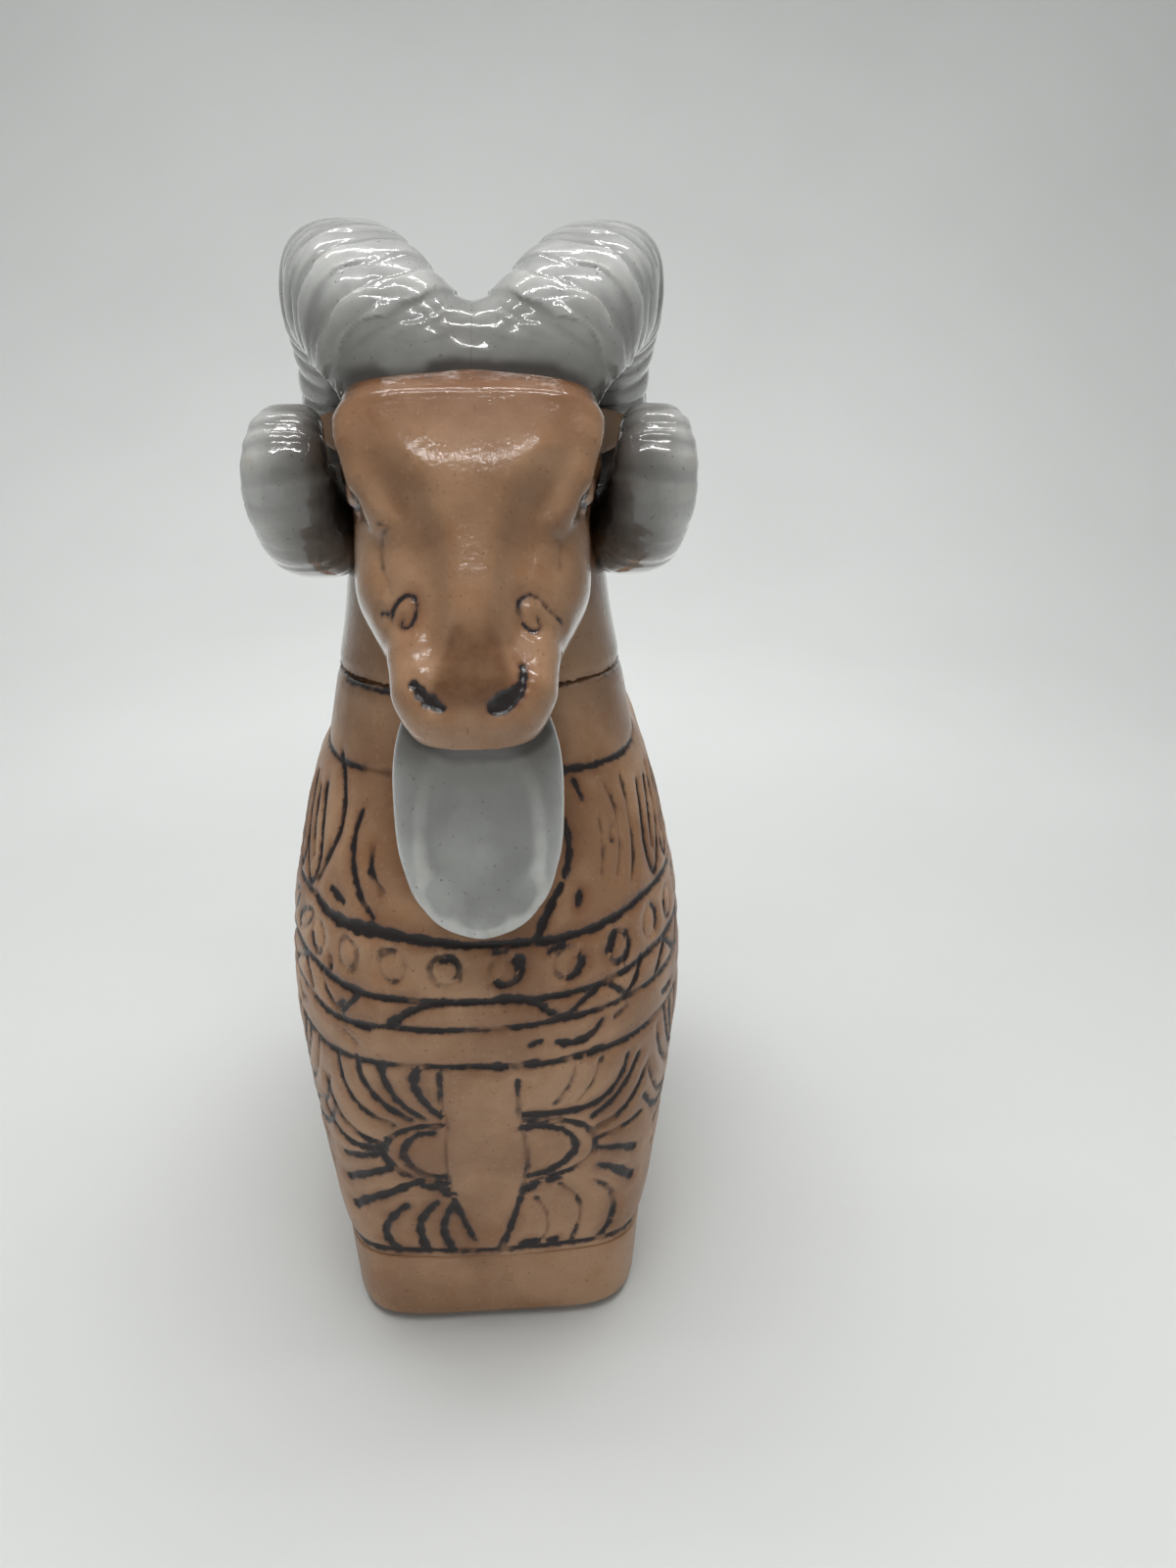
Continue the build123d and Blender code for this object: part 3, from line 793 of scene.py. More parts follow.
def fleece(row_y, angle, wide):
    """A scale of the fleece on the back, at an angle from upright about the line z = 98."""
    places = [(-1.0, 0.0), (-0.86, 3.6), (-0.42, 6.4), (0.0, 7.2), (0.42, 6.4), (0.86, 3.6), (1.0, 0.0)]
    curl = [(-0.10, 0.6), (0.30, 1.9), (0.16, 3.8), (-0.30, 3.9), (-0.40, 2.4)]
    lines = []
    for drawn, width, stain in ((places, 0.9, 0.8), (curl, 0.7, 0.6)):
        turns = [angle + a * wide for a, _ in spline(drawn, 4)]
        starts = np.array([(0.0, row_y + y, 98.0) for _, y in spline(drawn, 4)])
        out = np.array([(math.sin(t), 0.0, math.cos(t)) for t in turns])
        points = starts + body_surface(starts, out, 60.0, 14)[:, None] * out
        lines.append(Line(points, (width, width), stain * hand.uniform(0.6, 1.1), 0.4))
    return lines


def seam_lines():
    """The line round the neck where body and head meet, cut into both."""
    parts = []
    for turn in range(8):
        angles = np.linspace(turn, turn + 1, 10) * math.pi / 4 + 0.3
        points = [skin_by_angle(a, NECK_SEAM - 0.2 + 0.2 * math.sin(5 * a)) for a in angles]
        parts.append(Line(points, (0.6, 0.9), hand.uniform(0.1, 0.6), 0.3))
    return parts


NECK_LINES = seam_lines()


def body_ornament():
    drawn = FAN_LEFT + FAN_RIGHT + CHEST + BEAD_DASHES + LEAF_BAND + SHOULDER_BAND
    lines = list(NECK_LINES) + [body_line(*row) for row in drawn]
    for row in HOOPS:
        lines += hoop(*row)
    lines += [body_line(*row) for row in ACCENTS]
    for side in (-1, 1):
        for centre in (63.5, 122.0):
            lines += fan(lambda z, c=side * centre: c, 0.78)
    lines += fan(half_way_round, 0.8)

    around = half_way_round(92.0)
    lines += [line for u in (-38.3, -28.0, -17.5, -7.4, 3.6, 15.2, 27.0) for line in bead(u, 91.8)]
    for u in np.arange(38.0, 2 * around - 44.0, 10.7):
        lines += bead(u, 92.4)
    around = half_way_round(83.0)
    for u in np.arange(38.0, 2 * around - 46.0, 13.2):
        up = shaken([(u, 81.2), (u + 2.6, 83.0), (u + 6.6, 86.4)], 0.2)
        down = shaken([(u + 6.6, 86.4), (u + 10.4, 83.2), (u + 13.2, 81.2)], 0.2)
        dash = shaken([(u + 4.4, 76.8), (u + 6.6, 75.4), (u + 9.0, 76.2)], 0.3)
        for places in (up, down, dash):
            lines.append(body_line(0.8, 1.1, hand.uniform(0.4, 1.0), *places))

    for side in (-1, 1):
        for u in np.arange(43.0, 84.0, 9.4):
            lines += lock(side * u, 100.2, 117.0, 4.1)
        for u in np.arange(90.0, half_way_round(104.0) - 10.0, 9.4):
            lines += lock(side * u, 100.2, 110.5, 4.1)
        for u in np.arange(50.0, 84.0, 8.0):
            places = [(side * u, 136.0), (side * (u - 1.2), 132.5), (side * (u + 0.6), 129.5)]
            lines.append(body_line(0.6, 0.8, 0.4, *shaken(places, 0.3), depth=0.3))
        places = [(side * u, z) for u, z in SHOULDER_LINE]
        lines.append(body_line(0.8, 0.7, 0.6, *places))
    for row, row_y in enumerate(np.arange(12.0, 56.0, 7.6)):
        for k in range(-5, 6):
            angle = (k + 0.5 * (row % 2)) * 0.232
            if abs(angle) < 1.06:
                lines += fleece(row_y, angle, 0.116)
    return lines


# The face. Places are (distance right, distance down the face).
NOSTRILS = [
    (0.9, 1.9, (-9.5, 51.0), (-8.6, 52.4), (-7.3, 53.8)),
    (1.9, 1.0, (-7.3, 53.8), (-6.2, 54.6), (-5.0, 55.2)),
    (0.7, 1.2, (7.7, 48.2), (7.7, 50.2), (7.4, 52.0)),
    (1.4, 2.6, (7.4, 52.0), (6.2, 53.4), (4.8, 54.4)),
    (2.6, 1.8, (4.8, 54.4), (3.8, 55.0), (2.9, 55.5)),
]
SWIRLS = [
    (0.25, 0.3, 0.8, (-14.8, 37.8), (-13.9, 38.0), (-13.1, 39.2)),
    (0.3, 0.4, 0.9, (-13.1, 39.2), (-12.6, 37.4), (-11.2, 36.0), (-9.7, 35.8), (-8.8, 37.2)),
    (0.4, 0.3, 0.9, (-8.8, 37.2), (-9.1, 39.4), (-10.2, 41.0), (-11.4, 40.6), (-11.2, 39.8)),
    (0.2, 0.25, 0.5, (14.6, 39.8), (13.0, 38.8), (12.0, 38.0)),
    (0.25, 0.35, 0.75, (12.0, 38.0), (10.8, 36.7), (9.1, 36.0), (7.6, 37.2), (7.3, 38.8)),
    (0.35, 0.25, 0.75, (7.3, 38.8), (7.9, 40.8), (9.3, 42.0), (10.7, 41.4), (10.4, 40.0)),
    (0.2, 0.2, 0.12, (-15.2, 23.8), (-13.2, 24.6), (-14.6, 26.2), (-14.4, 31.0), (-13.0, 35.0)),
    (0.2, 0.2, 0.05, (15.0, 24.2), (13.4, 25.0), (14.6, 27.0), (14.2, 31.0)),
]
# One eye seen from its side. Places are (distance down the face, depth).
EYE = [
    (0.8, 0.7, 0.9, (19.4, 6.0), (16.6, 6.9), (13.4, 8.3), (10.4, 11.0), (9.0, 15.0)),
    (0.7, 0.6, 0.7, (19.4, 6.0), (19.0, 10.2), (16.0, 13.6), (9.0, 15.0)),
    (0.5, 0.5, 0.6, (12.8, 10.0), (15.2, 9.4), (16.4, 11.2), (14.8, 13.0), (12.8, 12.2), (12.8, 10.0)),
    (0.9, 0.9, 0.8, (14.4, 11.1), (15.0, 11.3)),
]


def head_ornament():
    lines = list(NECK_LINES)
    lines += [Line(on_face(spline(places, 6)), (a, b), 1.0, 0.6) for a, b, *places in NOSTRILS]
    lines += [Line(on_face(spline(places, 6)), (a, b), stain, 0.32) for a, b, stain, *places in SWIRLS]
    for side in (-1, 1):
        lines += [
            Line(on_cheek(spline(places, 6), side), (a, b), stain, 0.35) for a, b, stain, *places in EYE
        ]
    return lines


FAR = 6.0  # the distance kept for vertices that are near no line
NEAR = 4.0  # how far from a line its distance is worked out


def incise(vertices, normals, lines, pillow):
    """Cuts the lines into a surface. Returns its vertices, the distance from the nearest
    line's edge, negative inside the line, and the darkness of that line's stain. Pillow is
    how far the surface sinks beside a line."""
    edge = np.full(len(vertices), FAR)
    stain, depth = np.zeros(len(vertices)), np.zeros(len(vertices))
    for line in lines:
        low, high = line.points.min(axis=0) - NEAR, line.points.max(axis=0) + NEAR
        near = np.nonzero(((vertices > low) & (vertices < high)).all(axis=1))[0]
        if len(near) == 0:
            continue
        a, b = line.points[:-1], line.points[1:]
        run = b - a
        offset = vertices[near][:, None, :] - a
        t = np.clip((offset * run).sum(axis=2) / np.maximum((run**2).sum(axis=1), 1e-9), 0, 1)
        half = line.half[:-1] + (line.half[1:] - line.half[:-1]) * t
        away = (np.linalg.norm(offset - t[..., None] * run, axis=2) - half).min(axis=1)
        closer = away < edge[near]
        edge[near[closer]] = away[closer]
        stain[near[closer]] = line.stain
        depth[near[closer]] = line.depth
    cut = depth * (1 - step(edge, -0.45, 0.35))
    rise = pillow * (step(edge, 0.0, 2.4) - 1)
    return vertices + normals * (rise - cut)[:, None], edge, stain


# ---- from field to mesh ------------------------------------------------------------------------
def gradient(field, p):
    nudge = 0.05
    parts = []
    for axis in np.eye(3) * nudge:
        parts.append((field(p + axis) - field(p - axis)) / (2 * nudge))
    return np.stack(parts, axis=1)


def sampled(field, axes, coarse=4):
    """The field's values on a grid. Only the part near the surface is worked out finely."""
    grid = np.stack(np.meshgrid(*[a[::coarse] for a in axes], indexing="ij"), axis=-1)
    rough = field(grid.reshape(-1, 3)).reshape(grid.shape[:3])
    near = np.abs(rough) < 2.4 * coarse * max(a[1] - a[0] for a in axes)
    index = []
    for spots, count in zip(axes, near.shape):
        nearest = (np.arange(len(spots)) + coarse // 2) // coarse
        index.append(np.minimum(nearest, count - 1))
    fine_near = near[np.ix_(*index)]
    values = rough[np.ix_(*index)].copy()
    where = np.argwhere(fine_near)
    points = np.stack([axes[i][where[:, i]] for i in range(3)], axis=1)
    values[fine_near] = field(points)
    return values


def meshed(field, low, high, cell):
    """Vertices and faces on the field's zero surface, one vertex to a cell that it crosses."""
    axes = [np.arange(lo - 1.5 * cell, hi + 2.5 * cell, cell) for lo, hi in zip(low, high)]
    values = sampled(field, axes)
    inside = values < 0
    shape = tuple(n - 1 for n in inside.shape)
    total = np.zeros(shape + (3,))
    count = np.zeros(shape)
    crossed = []
    for axis in range(3):
        first = np.moveaxis(values, axis, 0)[:-1]
        second = np.moveaxis(values, axis, 0)[1:]
        cut = (first < 0) != (second < 0)
        part = np.where(cut, first / np.where(cut, first - second, 1.0), 0.0)
        cut, part = np.moveaxis(cut, 0, axis), np.moveaxis(part, 0, axis)
        crossed.append(cut)
        others = [i for i in range(3) if i != axis]
        for one in (0, 1):
            for two in (0, 1):
                window = [slice(None)] * 3
                window[others[0]] = slice(one, one + shape[others[0]])
                window[others[1]] = slice(two, two + shape[others[1]])
                here = cut[tuple(window)]
                count += here
                total[..., axis] += np.where(here, part[tuple(window)], 0.0)
                total[..., others[0]] += here * one
                total[..., others[1]] += here * two
    active = count > 0
    number = np.full(shape, -1)
    number[active] = np.arange(active.sum())
    where = np.argwhere(active)
    offset = total[active] / count[active][:, None]
    vertices = np.stack([axes[i][where[:, i]] + offset[:, i] * cell for i in range(3)], axis=1)
    faces = []
    for axis in range(3):
        others = [i for i in range(3) if i != axis]
        window = [slice(None)] * 3
        for other in others:
            window[other] = slice(1, -1)
        spots = np.argwhere(crossed[axis][tuple(window)])
        spots[:, others] += 1
        a, b, c, d = (spots.copy() for _ in range(4))
        a[:, others] -= 1
        b[:, others[1]] -= 1
        d[:, others[0]] -= 1
        quad = np.stack([number[tuple(s.T)] for s in (a, b, c, d)], axis=1)
        outward = inside[tuple(spots.T)] ^ (axis == 1)
        faces.append(np.where(outward[:, None], quad, quad[:, ::-1]))
    for _ in range(3):
        slope = gradient(field, vertices)
        move = field(vertices) / np.maximum((slope**2).sum(axis=1), 0.05)
        vertices = vertices - np.clip(move, -0.5 * cell, 0.5 * cell)[:, None] * slope
    return vertices, np.concatenate(faces)


def hollows(vertices, normals, faces, rounds):
    """How far each vertex lies below its smoothed surroundings: positive in a hollow."""
    one = faces.ravel()
    two = np.roll(faces, -1, axis=1).ravel()
    weight = np.bincount(one, minlength=len(vertices)) + np.bincount(two, minlength=len(vertices))
    smooth = vertices.copy()
    for _ in range(rounds):
        for axis in range(3):
            column = smooth[:, axis]
            total = np.bincount(one, column[two], len(column))
            total = total + np.bincount(two, column[one], len(column))
            smooth[:, axis] = 0.4 * column + 0.6 * total / np.maximum(weight, 1)
    return ((smooth - vertices) * normals).sum(axis=1)


def shown(name, mesh, material):
    """The object that shows a mesh in a material."""
    mesh.materials.append(material)
    piece = bpy.data.objects.new(name, mesh)
    bpy.context.collection.objects.link(piece)
    return piece


def keep(mesh, name, values):
    attribute = mesh.attributes.new(name, "FLOAT", "POINT")
    attribute.data.foreach_set("value", np.asarray(values, dtype=np.float32))


def clay(name, field, low, high, cell, material, nodes, lines=(), pillow=0.0,
         flip=False, half=False, lean=0.0, beside=None, tint=None):
    """Makes one piece from its field, in place of the CAD nodes that it stands for. With half,
    only what lies beyond the middle plane is kept, and with flip it is mirrored. Lean shifts it
    to +X with height. Its vertices keep, for the glazes: edge and stain, for the lines cut
    into it; hollow, its depth below its surroundings; gloss; apart, the distance from the form
    beside it, by which painted shade darkens the glaze near that form; and tint, extra
    darkening: real stain on the face, and painted shade on the face, horns and beard."""
    vertices, faces = meshed(field, low, high, cell)
    slope = gradient(field, vertices)
    normals = slope / np.maximum(np.linalg.norm(slope, axis=1), 1e-6)[:, None]
    vertices, edge, stain = incise(vertices, normals, lines, pillow)
    hollow = hollows(vertices, normals, faces, 36)
    mesh = bpy.data.meshes.new(name)
    mesh.from_pydata((vertices * MM).tolist(), [], faces.tolist())
    keep(mesh, "edge", edge)
    keep(mesh, "stain", stain)
    keep(mesh, "hollow", hollow)
    keep(mesh, "gloss", step(vertices[:, 2], *GLOSSY_FROM))
    keep(mesh, "apart", beside(vertices) if beside else np.full(len(vertices), NOTHING_BESIDE))
    keep(mesh, "tint", tint(vertices) if tint else np.zeros(len(vertices)))
    work = bmesh.new()
    work.from_mesh(mesh)
    if half:
        everything = work.verts[:] + work.edges[:] + work.faces[:]
        cut = bmesh.ops.bisect_plane(
            work,
            geom=everything,
            plane_co=(SEAM_GAP * MM, 0.0, 0.0),
            plane_no=(1, 0, 0),
            clear_inner=True,
        )
        rim = [e for e in cut["geom_cut"] if isinstance(e, bmesh.types.BMEdge)]
        for edge_of_rim in rim:
            edge_of_rim.smooth = False
        bmesh.ops.holes_fill(work, edges=rim, sides=0)
    if flip:
        bmesh.ops.scale(work, vec=(-1, 1, 1), verts=work.verts)
        bmesh.ops.reverse_faces(work, faces=work.faces)
    for vertex in work.verts:
        vertex.co.x += lean * max(vertex.co.z - HORN_LEAN_FROM * MM, 0.0)
    for face in work.faces:
        face.smooth = True
    work.to_mesh(mesh)
    work.free()
    piece = shown(name, mesh, material)
    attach(piece, "root")
    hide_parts(*nodes)
    return piece


# ---- glazes ------------------------------------------------------------------------------------
class Glaze:
    """A material's nodes, with short ways to add to them. Its colour is built up in layers."""

    def __init__(self, name, ground):
        self.colour = ground
        self.material = bpy.data.materials.new(name)
        self.material.use_nodes = True
        self.tree = self.material.node_tree
        self.shader = self.tree.nodes["Principled BSDF"]
        self.place = self.add("ShaderNodeTexCoord").outputs["Object"]

    def add(self, kind, **settings):
        node = self.tree.nodes.new(kind)
        for name, value in settings.items():
            setattr(node, name, value)
        return node

    def feed(self, socket, value):
        if isinstance(value, bpy.types.NodeSocket):
            self.tree.links.new(value, socket)
        else:
            socket.default_value = value

    def noise(self, size, detail=3.0, stretch=None):
        """Noise with features about size millimetres wide."""
        node = self.add("ShaderNodeTexNoise")
        node.inputs["Scale"].default_value = 1 / (size * MM)
        node.inputs["Detail"].default_value = detail
        place = self.place
        if stretch:
            scaling = self.add("ShaderNodeMapping")
            scaling.inputs["Scale"].default_value = stretch
            self.feed(scaling.inputs["Vector"], place)
            place = scaling.outputs[0]
        self.feed(node.inputs["Vector"], place)
        return node.outputs["Fac"]

    def kept(self, name):
        return self.add("ShaderNodeAttribute", attribute_name=name).outputs["Fac"]

    def math(self, operation, a, b):
        node = self.add("ShaderNodeMath", operation=operation)
        self.feed(node.inputs[0], a)
        self.feed(node.inputs[1], b)
        return node.outputs[0]

    def product(self, a, b):
        return self.math("MULTIPLY", a, b)

    def ramp(self, value, low, high, start=0.0, end=1.0):
        """From start to end, smoothly, as the value goes from low to high."""
        node = self.add("ShaderNodeMapRange", interpolation_type="SMOOTHSTEP")
        for socket, number in zip(node.inputs[:5], (value, low, high, start, end)):
            self.feed(socket, number)
        return node.outputs[0]

    def mix(self, factor, a, b):
        node = self.add("ShaderNodeMix", data_type="RGBA")
        self.feed(node.inputs["Factor"], factor)
        for socket, colour in ((node.inputs[6], a), (node.inputs[7], b)):
            self.feed(socket, colour + (1.0,) if isinstance(colour, tuple) else colour)
        return node.outputs[2]

    def lay(self, colour, share):
        """Lays a colour over what is there, where and as thickly as its share says."""
        self.colour = self.mix(share, self.colour, colour)

    def over(self, colour, value, low, high, most=1.0):
        """Lays a colour, from none of it at low to the most of it at high."""
        self.lay(colour, self.ramp(value, low, high, 0.0, most))

    def bump(self, height, distance, under=None):
        """Fine relief: distance is the height of one unit, in millimetres."""
        node = self.add("ShaderNodeBump")
        node.inputs["Distance"].default_value = distance * MM
        self.feed(node.inputs["Height"], height)
        if under:
            self.feed(node.inputs["Normal"], under)
        return node.outputs[0]

    def finish(self, roughness, normal, **fixed):
        self.feed(self.shader.inputs["Base Color"], self.colour)
        self.feed(self.shader.inputs["Roughness"], roughness)
        self.feed(self.shader.inputs["Normal"], normal)
        self.feed(self.shader.inputs["Coat Normal"], normal)
        for name, value in fixed.items():
            self.shader.inputs[name.replace("_", " ")].default_value = value
        return self.material


def brown_glaze(name):
    """Stained clay under clear glaze, glossier where gloss was kept, with stain in its lines, and
    painted shade on the face and near other parts.
    """
    tan, brown, ochre = (0.415, 0.246, 0.142), (0.275, 0.148, 0.079), (0.300, 0.135, 0.054)
    grain, speck, pooled = (0.56, 0.35, 0.21), (0.11, 0.055, 0.03), (0.15, 0.062, 0.026)
    deep, beside, contact_shadow = (0.135, 0.072, 0.036), (0.155, 0.066, 0.029), (0.030, 0.018, 0.014)
    warm_stain_and_shade, dark_shade = (0.115, 0.050, 0.020), (0.018, 0.011, 0.008)
    halo, smeared, ink = (0.17, 0.068, 0.030), (0.085, 0.042, 0.028), (0.020, 0.014, 0.014)
    look = Glaze(name, brown)
    gloss, tint = look.kept("gloss"), look.kept("tint")
    edge, stain = look.kept("edge"), look.kept("stain")
    look.over(tan, look.noise(22.0, 5.0), 0.38, 0.62)
    look.over(ochre, look.noise(8.0, 5.0), 0.50, 0.74, 0.5)
    look.over(grain, look.noise(1.1, 2.0), 0.60, 0.74, 0.22)
    look.over(speck, look.noise(0.75, 2.0), 0.66, 0.72, 0.5)
    look.over(pooled, look.kept("hollow"), 0.03, 0.55, 0.7)
    # Deeper colour under the thicker, glossier glaze, together with painted shade that dims the head
    # and upper neck.
    look.over(deep, gloss, 0.3, 1.0, 0.36)
    # Painted shade near the form beside: warm brown where the beard or horns come close, and a
    # near-black painted contact shadow where they touch.
    apart = look.math("ADD", look.kept("apart"), look.ramp(look.noise(4.0), 0.3, 0.7, -0.9, 0.9))
    look.over(beside, apart, 10.0, 0.5, 0.8)
    look.over(contact_shadow, apart, 1.3, 0.0, 0.7)
    # The tint lays real stain on the nose pad and painted shade under the horns and in the face's
    # valleys. Where it is above one, near-black painted shade goes in the pocket by the curls.
    uneven = look.ramp(look.noise(3.0), 0.25, 0.7, 0.7, 1.0)
    look.lay(warm_stain_and_shade, look.product(look.ramp(tint, 0.0, 1.0), uneven))
    look.over(dark_shade, tint, 1.0, 1.9, 0.92)
    # The stain wiped over the lines: a warm halo, a smear, and what stays in the line itself.
    warm = look.product(look.ramp(edge, 3.0, 0.0, 0.0, 0.6), look.ramp(look.noise(9.0), 0.34, 0.62))
    look.lay(halo, look.product(warm, look.ramp(stain, 0.1, 0.8)))
    ragged = look.math("ADD", edge, look.ramp(look.noise(1.6, 2.0), 0.3, 0.7, -0.14, 0.14))
    patches = look.ramp(look.noise(6.0, 2.0), 0.34, 0.70)
    patchy = look.math("SUBTRACT", look.product(stain, 1.5), patches)
    smear = look.ramp(ragged, 0.75, -0.1, 0.0, 0.75)
    look.lay(smeared, look.product(smear, look.ramp(patchy, -0.5, 0.7)))
    look.lay(ink, look.product(look.ramp(ragged, 0.28, -0.02), look.ramp(patchy, -0.1, 0.5)))
    fine = look.bump(look.noise(0.9, 2.0), 0.055)
    normal = look.bump(look.noise(5.0, 2.0), 0.10, fine)
    cloudy = look.ramp(look.noise(14.0, 3.0), 0.3, 0.7, 0.36, 0.50)
    roughness = look.product(cloudy, look.ramp(gloss, 0.0, 1.0, 1.0, 0.42))
    look.feed(look.shader.inputs["Coat Weight"], look.ramp(gloss, 0.0, 1.0, 0.22, 1.0))
    fixed = {"Coat_Roughness": 0.12, "Coat_IOR": 1.45, "Specular_IOR_Level": 0.3}
    return look.finish(roughness, normal, **fixed)


def white_glaze(name):
    """Pale grey glaze, pooled darker in the hollows, with painted light on the ridges and painted shade
    near the head.
    """
    grey, pale, ridge_light = (0.30, 0.303, 0.29), (0.41, 0.413, 0.395), (0.58, 0.58, 0.56)
    pooled, drip, worn = (0.17, 0.18, 0.182), (0.27, 0.275, 0.27), (0.36, 0.28, 0.18)
    speck, beside, contact_shadow = (0.10, 0.08, 0.06), (0.115, 0.108, 0.094), (0.026, 0.018, 0.014)
    dark_shade = (0.034, 0.022, 0.016)
    look = Glaze(name, grey)
    hollow = look.kept("hollow")
    look.over(pale, look.noise(12.0, 4.0), 0.34, 0.68)
    # Painted light: the ridges are made lighter.
    look.over(ridge_light, hollow, -0.04, -0.34, 0.8)
    look.over(pooled, hollow, 0.03, 0.40, 0.75)
    look.over(drip, look.noise(3.0, 3.0, (1.0, 1.0, 0.28)), 0.50, 0.72, 0.25)
    ridges, patches = look.ramp(hollow, -0.12, -0.42), look.ramp(look.noise(5.0), 0.52, 0.66, 0.0, 0.4)
    look.lay(worn, look.product(ridges, patches))
    look.over(speck, look.noise(0.8, 1.5), 0.69, 0.75, 0.6)
    # Painted shade where the horns and beard come close to the head, and a near-black painted contact
    # shadow where they touch.
    apart = look.math("ADD", look.kept("apart"), look.ramp(look.noise(9.0, 2.0), 0.3, 0.7, -0.9, 0.9))
    look.over(beside, apart, 13.0, 0.5, 0.72)
    look.over(contact_shadow, apart, 2.4, 0.0, 0.8)
    # Painted shade on the inner flanks of the curls and on the beard's top under the chin.
    look.lay(dark_shade, look.product(look.kept("tint"), look.ramp(look.noise(6.0), 0.3, 0.7, 0.75, 1.0)))
    normal = look.bump(look.noise(3.2, 2.0), 0.10)
    roughness = look.ramp(look.noise(8.0), 0.3, 0.7, 0.10, 0.20)
    return look.finish(roughness, normal, Coat_Weight=1.0, Coat_Roughness=0.05, Coat_IOR=1.5)


def bare_clay(name):
    """Unglazed fired clay, as on the underside."""
    dark, light, speck = (0.46, 0.27, 0.17), (0.58, 0.38, 0.26), (0.24, 0.13, 0.08)
    look = Glaze(name, dark)
    look.over(light, look.noise(9.0, 5.0), 0.35, 0.65)
    look.over(speck, look.noise(0.6, 2.0), 0.62, 0.72, 0.6)
    roughness = look.ramp(look.noise(3.0), 0.3, 0.7, 0.78, 0.95)
    return look.finish(roughness, look.bump(look.noise(0.5, 4.0), 0.10), Coat_Weight=0.0)


# ---- the pieces --------------------------------------------------------------------------------
SEAM_GAP = 0.02  # each horn stops this far from the middle plane
NOTHING_BESIDE = 9.0  # the distance kept on a piece that has no form beside it
GLOSSY_FROM = (112.0, 160.0)  # the glaze grows glossier between these heights

brown = brown_glaze("stained_glaze")
white = white_glaze("grey_white_glaze")
bare = bare_clay("bare_clay")

clay("ram_body", body_clay, (-45, -74, 18), (45, 69, 139), 0.62, brown, ["body_shell"],
     body_ornament(), 0.3, beside=beard_clay)
clay("ram_plinth", plinth_clay, (-33, -60, -1), (33, 60, 19), 0.8, brown, ["plinth"])
clay("ram_base_plate", plate_clay, (-30, -56, -1), (30, 56, 5), 0.8, bare, ["base_plate"])
clay("ram_head", head_clay, (-30, -92, 137), (30, 8, 200), 0.5, brown, ["head"],
     head_ornament(), 0.3, beside=horns_form, tint=head_stain_and_shade)
for flip, side in ((False, "right"), (True, "left")):
    clay(f"ram_horn_{side}", horns_form, (-1.5, -62, 152), (41, 9, 219), 0.5, white,
         [f"horn_{side}"], flip=flip, half=True, lean=HORN_LEAN, beside=head_form, tint=horn_shade)
    clay(f"ram_ear_{side}", ear_clay, (14, -30, 174), (33, -12, 190), 0.4, brown,
         [f"ear_{side}"], flip=flip)
clay("ram_beard", beard_clay, (-16, -84, 100), (16, -46, 148), 0.4, white, ["beard"],
     beside=head_form, tint=beard_shade)
clay("ram_tail", tail_clay, (-9, 54, 66), (9, 74, 111), 0.5, white, ["tail"])


# ---- stage, light and camera -------------------------------------------------------------------
CAMERA_PLACE = (4.8, -259.9, 196.0)
CAMERA_PITCH = math.radians(20.0)
CAMERA_YAW = math.radians(4.17)
CAMERA_LENS = 27.05
CAMERA_SENSOR = 36.0
LED_SIZE = 0.010
LED_GLOW = 92.0
# The floor's profile: radius and height, in metres.
BOWL = [
    (0.0, 0.0),
    (0.5, 0.0),
    (0.72, 0.012),
    (0.9, 0.07),
    (1.05, 0.2),
    (1.12, 0.4),
    (1.15, 0.8),
    (1.16, 1.4),
]


def bowl():
    """The floor, which curves up into a wall all round."""
    profile = spline(BOWL, 6)[1:]
    turns = 96
    points, faces = [(0.0, 0.0, 0.0)], []
    for radius, height in profile:
        for k in range(turns):
            angle = 2 * math.pi * k / turns
            points.append((radius * math.sin(angle), radius * math.cos(angle), max(height, 0.0)))
    for k in range(turns):
        after = (k + 1) % turns
        faces.append((0, 1 + after, 1 + k))
        for ring in range(len(profile) - 1):
            a, b = 1 + ring * turns, 1 + (ring + 1) * turns
            faces.append((a + k, a + after, b + after, b + k))
    mesh = bpy.data.meshes.new("floor")
    mesh.from_pydata(points, [], faces)
    mesh.shade_smooth()
    look = Glaze("white_card", (0.58, 0.59, 0.58))
    look.over((0.61, 0.62, 0.61), look.noise(300.0), 0.3, 0.7)
    card = look.finish(0.55, look.bump(look.noise(2.0), 0.02), Specular_IOR_Level=0.2)
    shown("floor", mesh, card)


def lamp(name, place, aim, size, power, spread):
    """A soft rectangular light at a place, in metres, turned to a point. The glazes don't
    mirror it."""
    light = bpy.data.lights.new(name, "AREA")
    light.shape = "RECTANGLE"
    light.size, light.size_y = size
    light.energy = power
    light.spread = math.radians(spread)
    holder = bpy.data.objects.new(name, light)
    holder.location = place
    holder.rotation_euler = (Vector(aim) - Vector(place)).to_track_quat("-Z", "Y").to_euler()
    holder.visible_glossy = False
    bpy.context.collection.objects.link(holder)


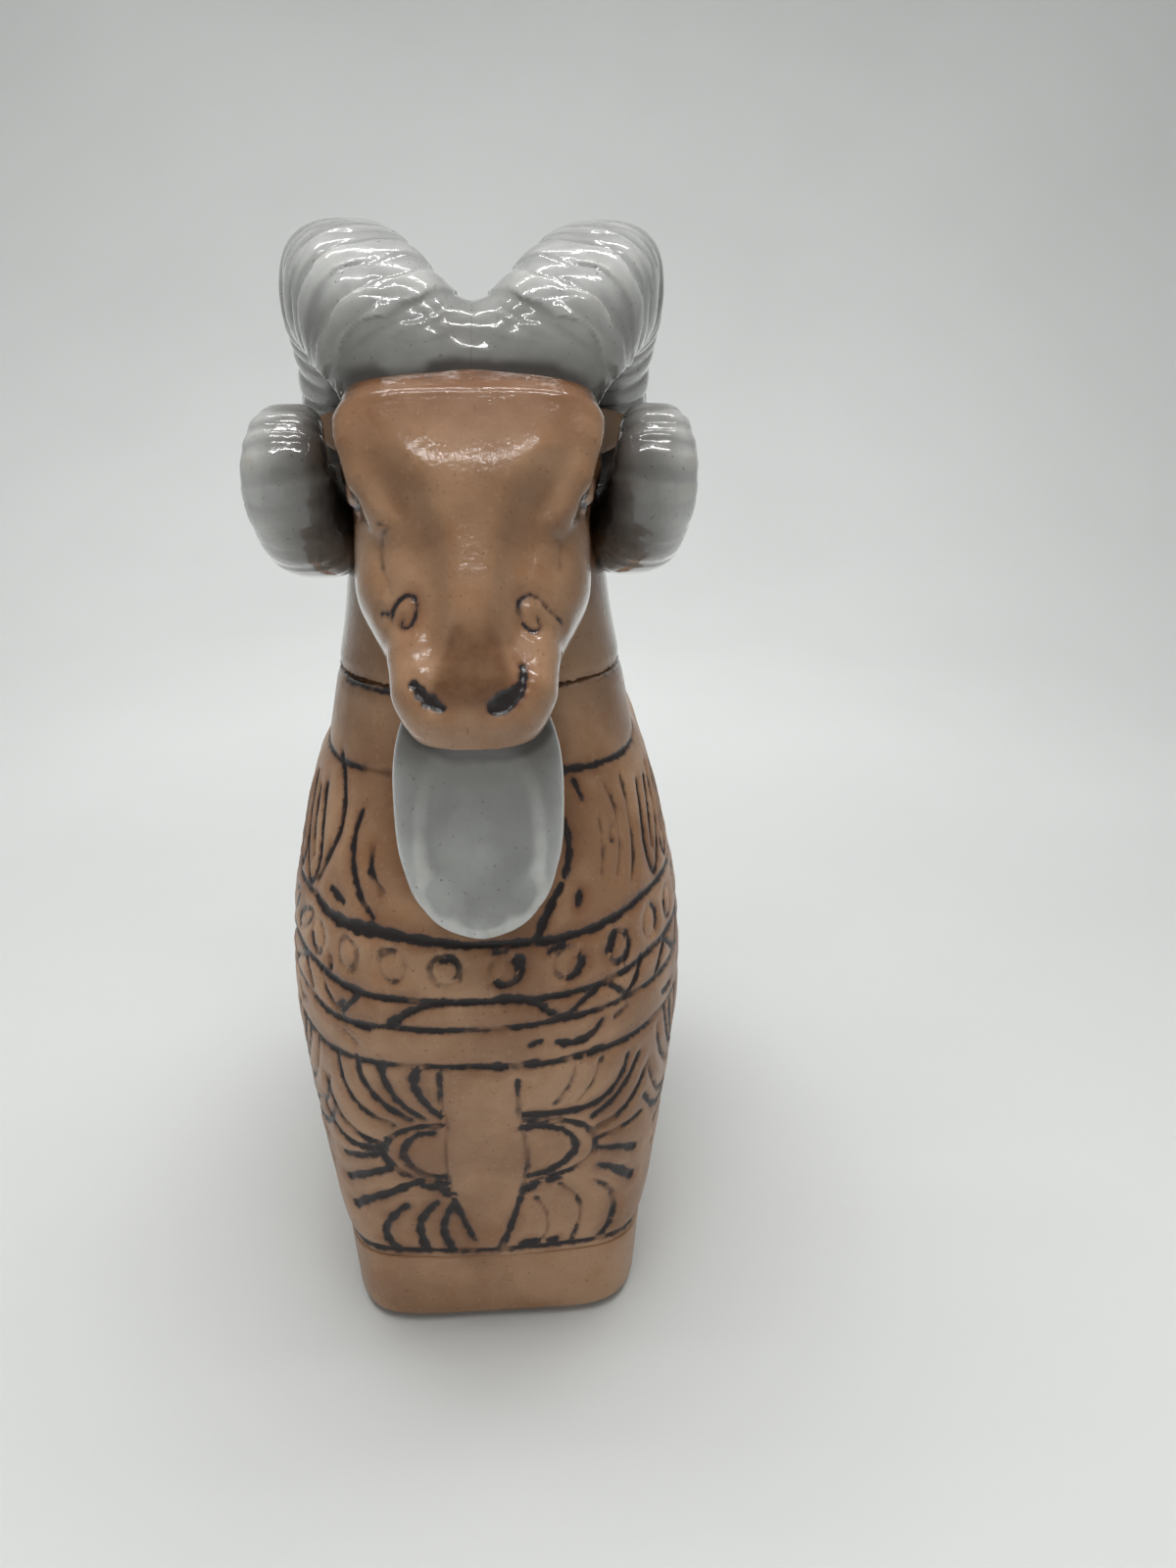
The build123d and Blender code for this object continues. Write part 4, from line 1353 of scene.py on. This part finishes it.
def led_strip(name, place, length, count):
    """A row of small bright lights along X, which the glazes mirror as a dotted line."""
    points, faces = [], []
    half = LED_SIZE / 2
    for k in range(count):
        middle = place[0] + (k / (count - 1) - 0.5) * length
        corners = ((-half, half), (half, half), (half, -half), (-half, -half))
        points += [(middle + a, place[1] + b, place[2]) for a, b in corners]
        faces.append((4 * k, 4 * k + 1, 4 * k + 2, 4 * k + 3))
    mesh = bpy.data.meshes.new(name)
    mesh.from_pydata(points, [], faces)
    look = Glaze(name, (0.0, 0.0, 0.0))
    look.shader.inputs["Base Color"].default_value = (0, 0, 0, 1)
    look.shader.inputs["Emission Color"].default_value = (1, 1, 1, 1)
    look.shader.inputs["Emission Strength"].default_value = LED_GLOW
    shown(name, mesh, look.material)


bowl()
led_strip("leds_back", (0.0, 0.10, 0.80), 0.70, 36)
led_strip("leds_middle", (0.0, -0.16, 0.80), 0.60, 30)
led_strip("leds_front", (0.0, -0.42, 0.80), 0.50, 26)
lamp("overhead", (0.0, 0.02, 0.85), (0.0, 0.02, 0.0), (0.80, 0.60), 3.0, 120.0)
lamp("backdrop", (0.0, 0.30, 0.70), (0.0, 1.0, 0.05), (0.9, 0.3), 2.7, 120.0)
lamp("fill", (-0.1, -0.9, 0.5), (0.0, 0.0, 0.08), (0.8, 0.5), 1.4, 180.0)

world = bpy.data.worlds.new("room")
world.use_nodes = True
sky = world.node_tree.nodes["Background"]
sky.inputs["Color"].default_value = (0.93, 0.97, 1.0, 1)
sky.inputs["Strength"].default_value = 0.19
bpy.context.scene.world = world
bpy.context.scene.view_settings.view_transform = "Standard"

camera = bpy.data.objects.new("camera", bpy.data.cameras.new("camera"))
bpy.context.collection.objects.link(camera)
camera.location = [c * MM for c in CAMERA_PLACE]
camera.rotation_euler = (math.pi / 2 - CAMERA_PITCH, 0, -CAMERA_YAW)
camera.data.sensor_width = CAMERA_SENSOR
camera.data.lens = CAMERA_LENS
camera.data.clip_start = 0.01
bpy.context.scene.camera = camera
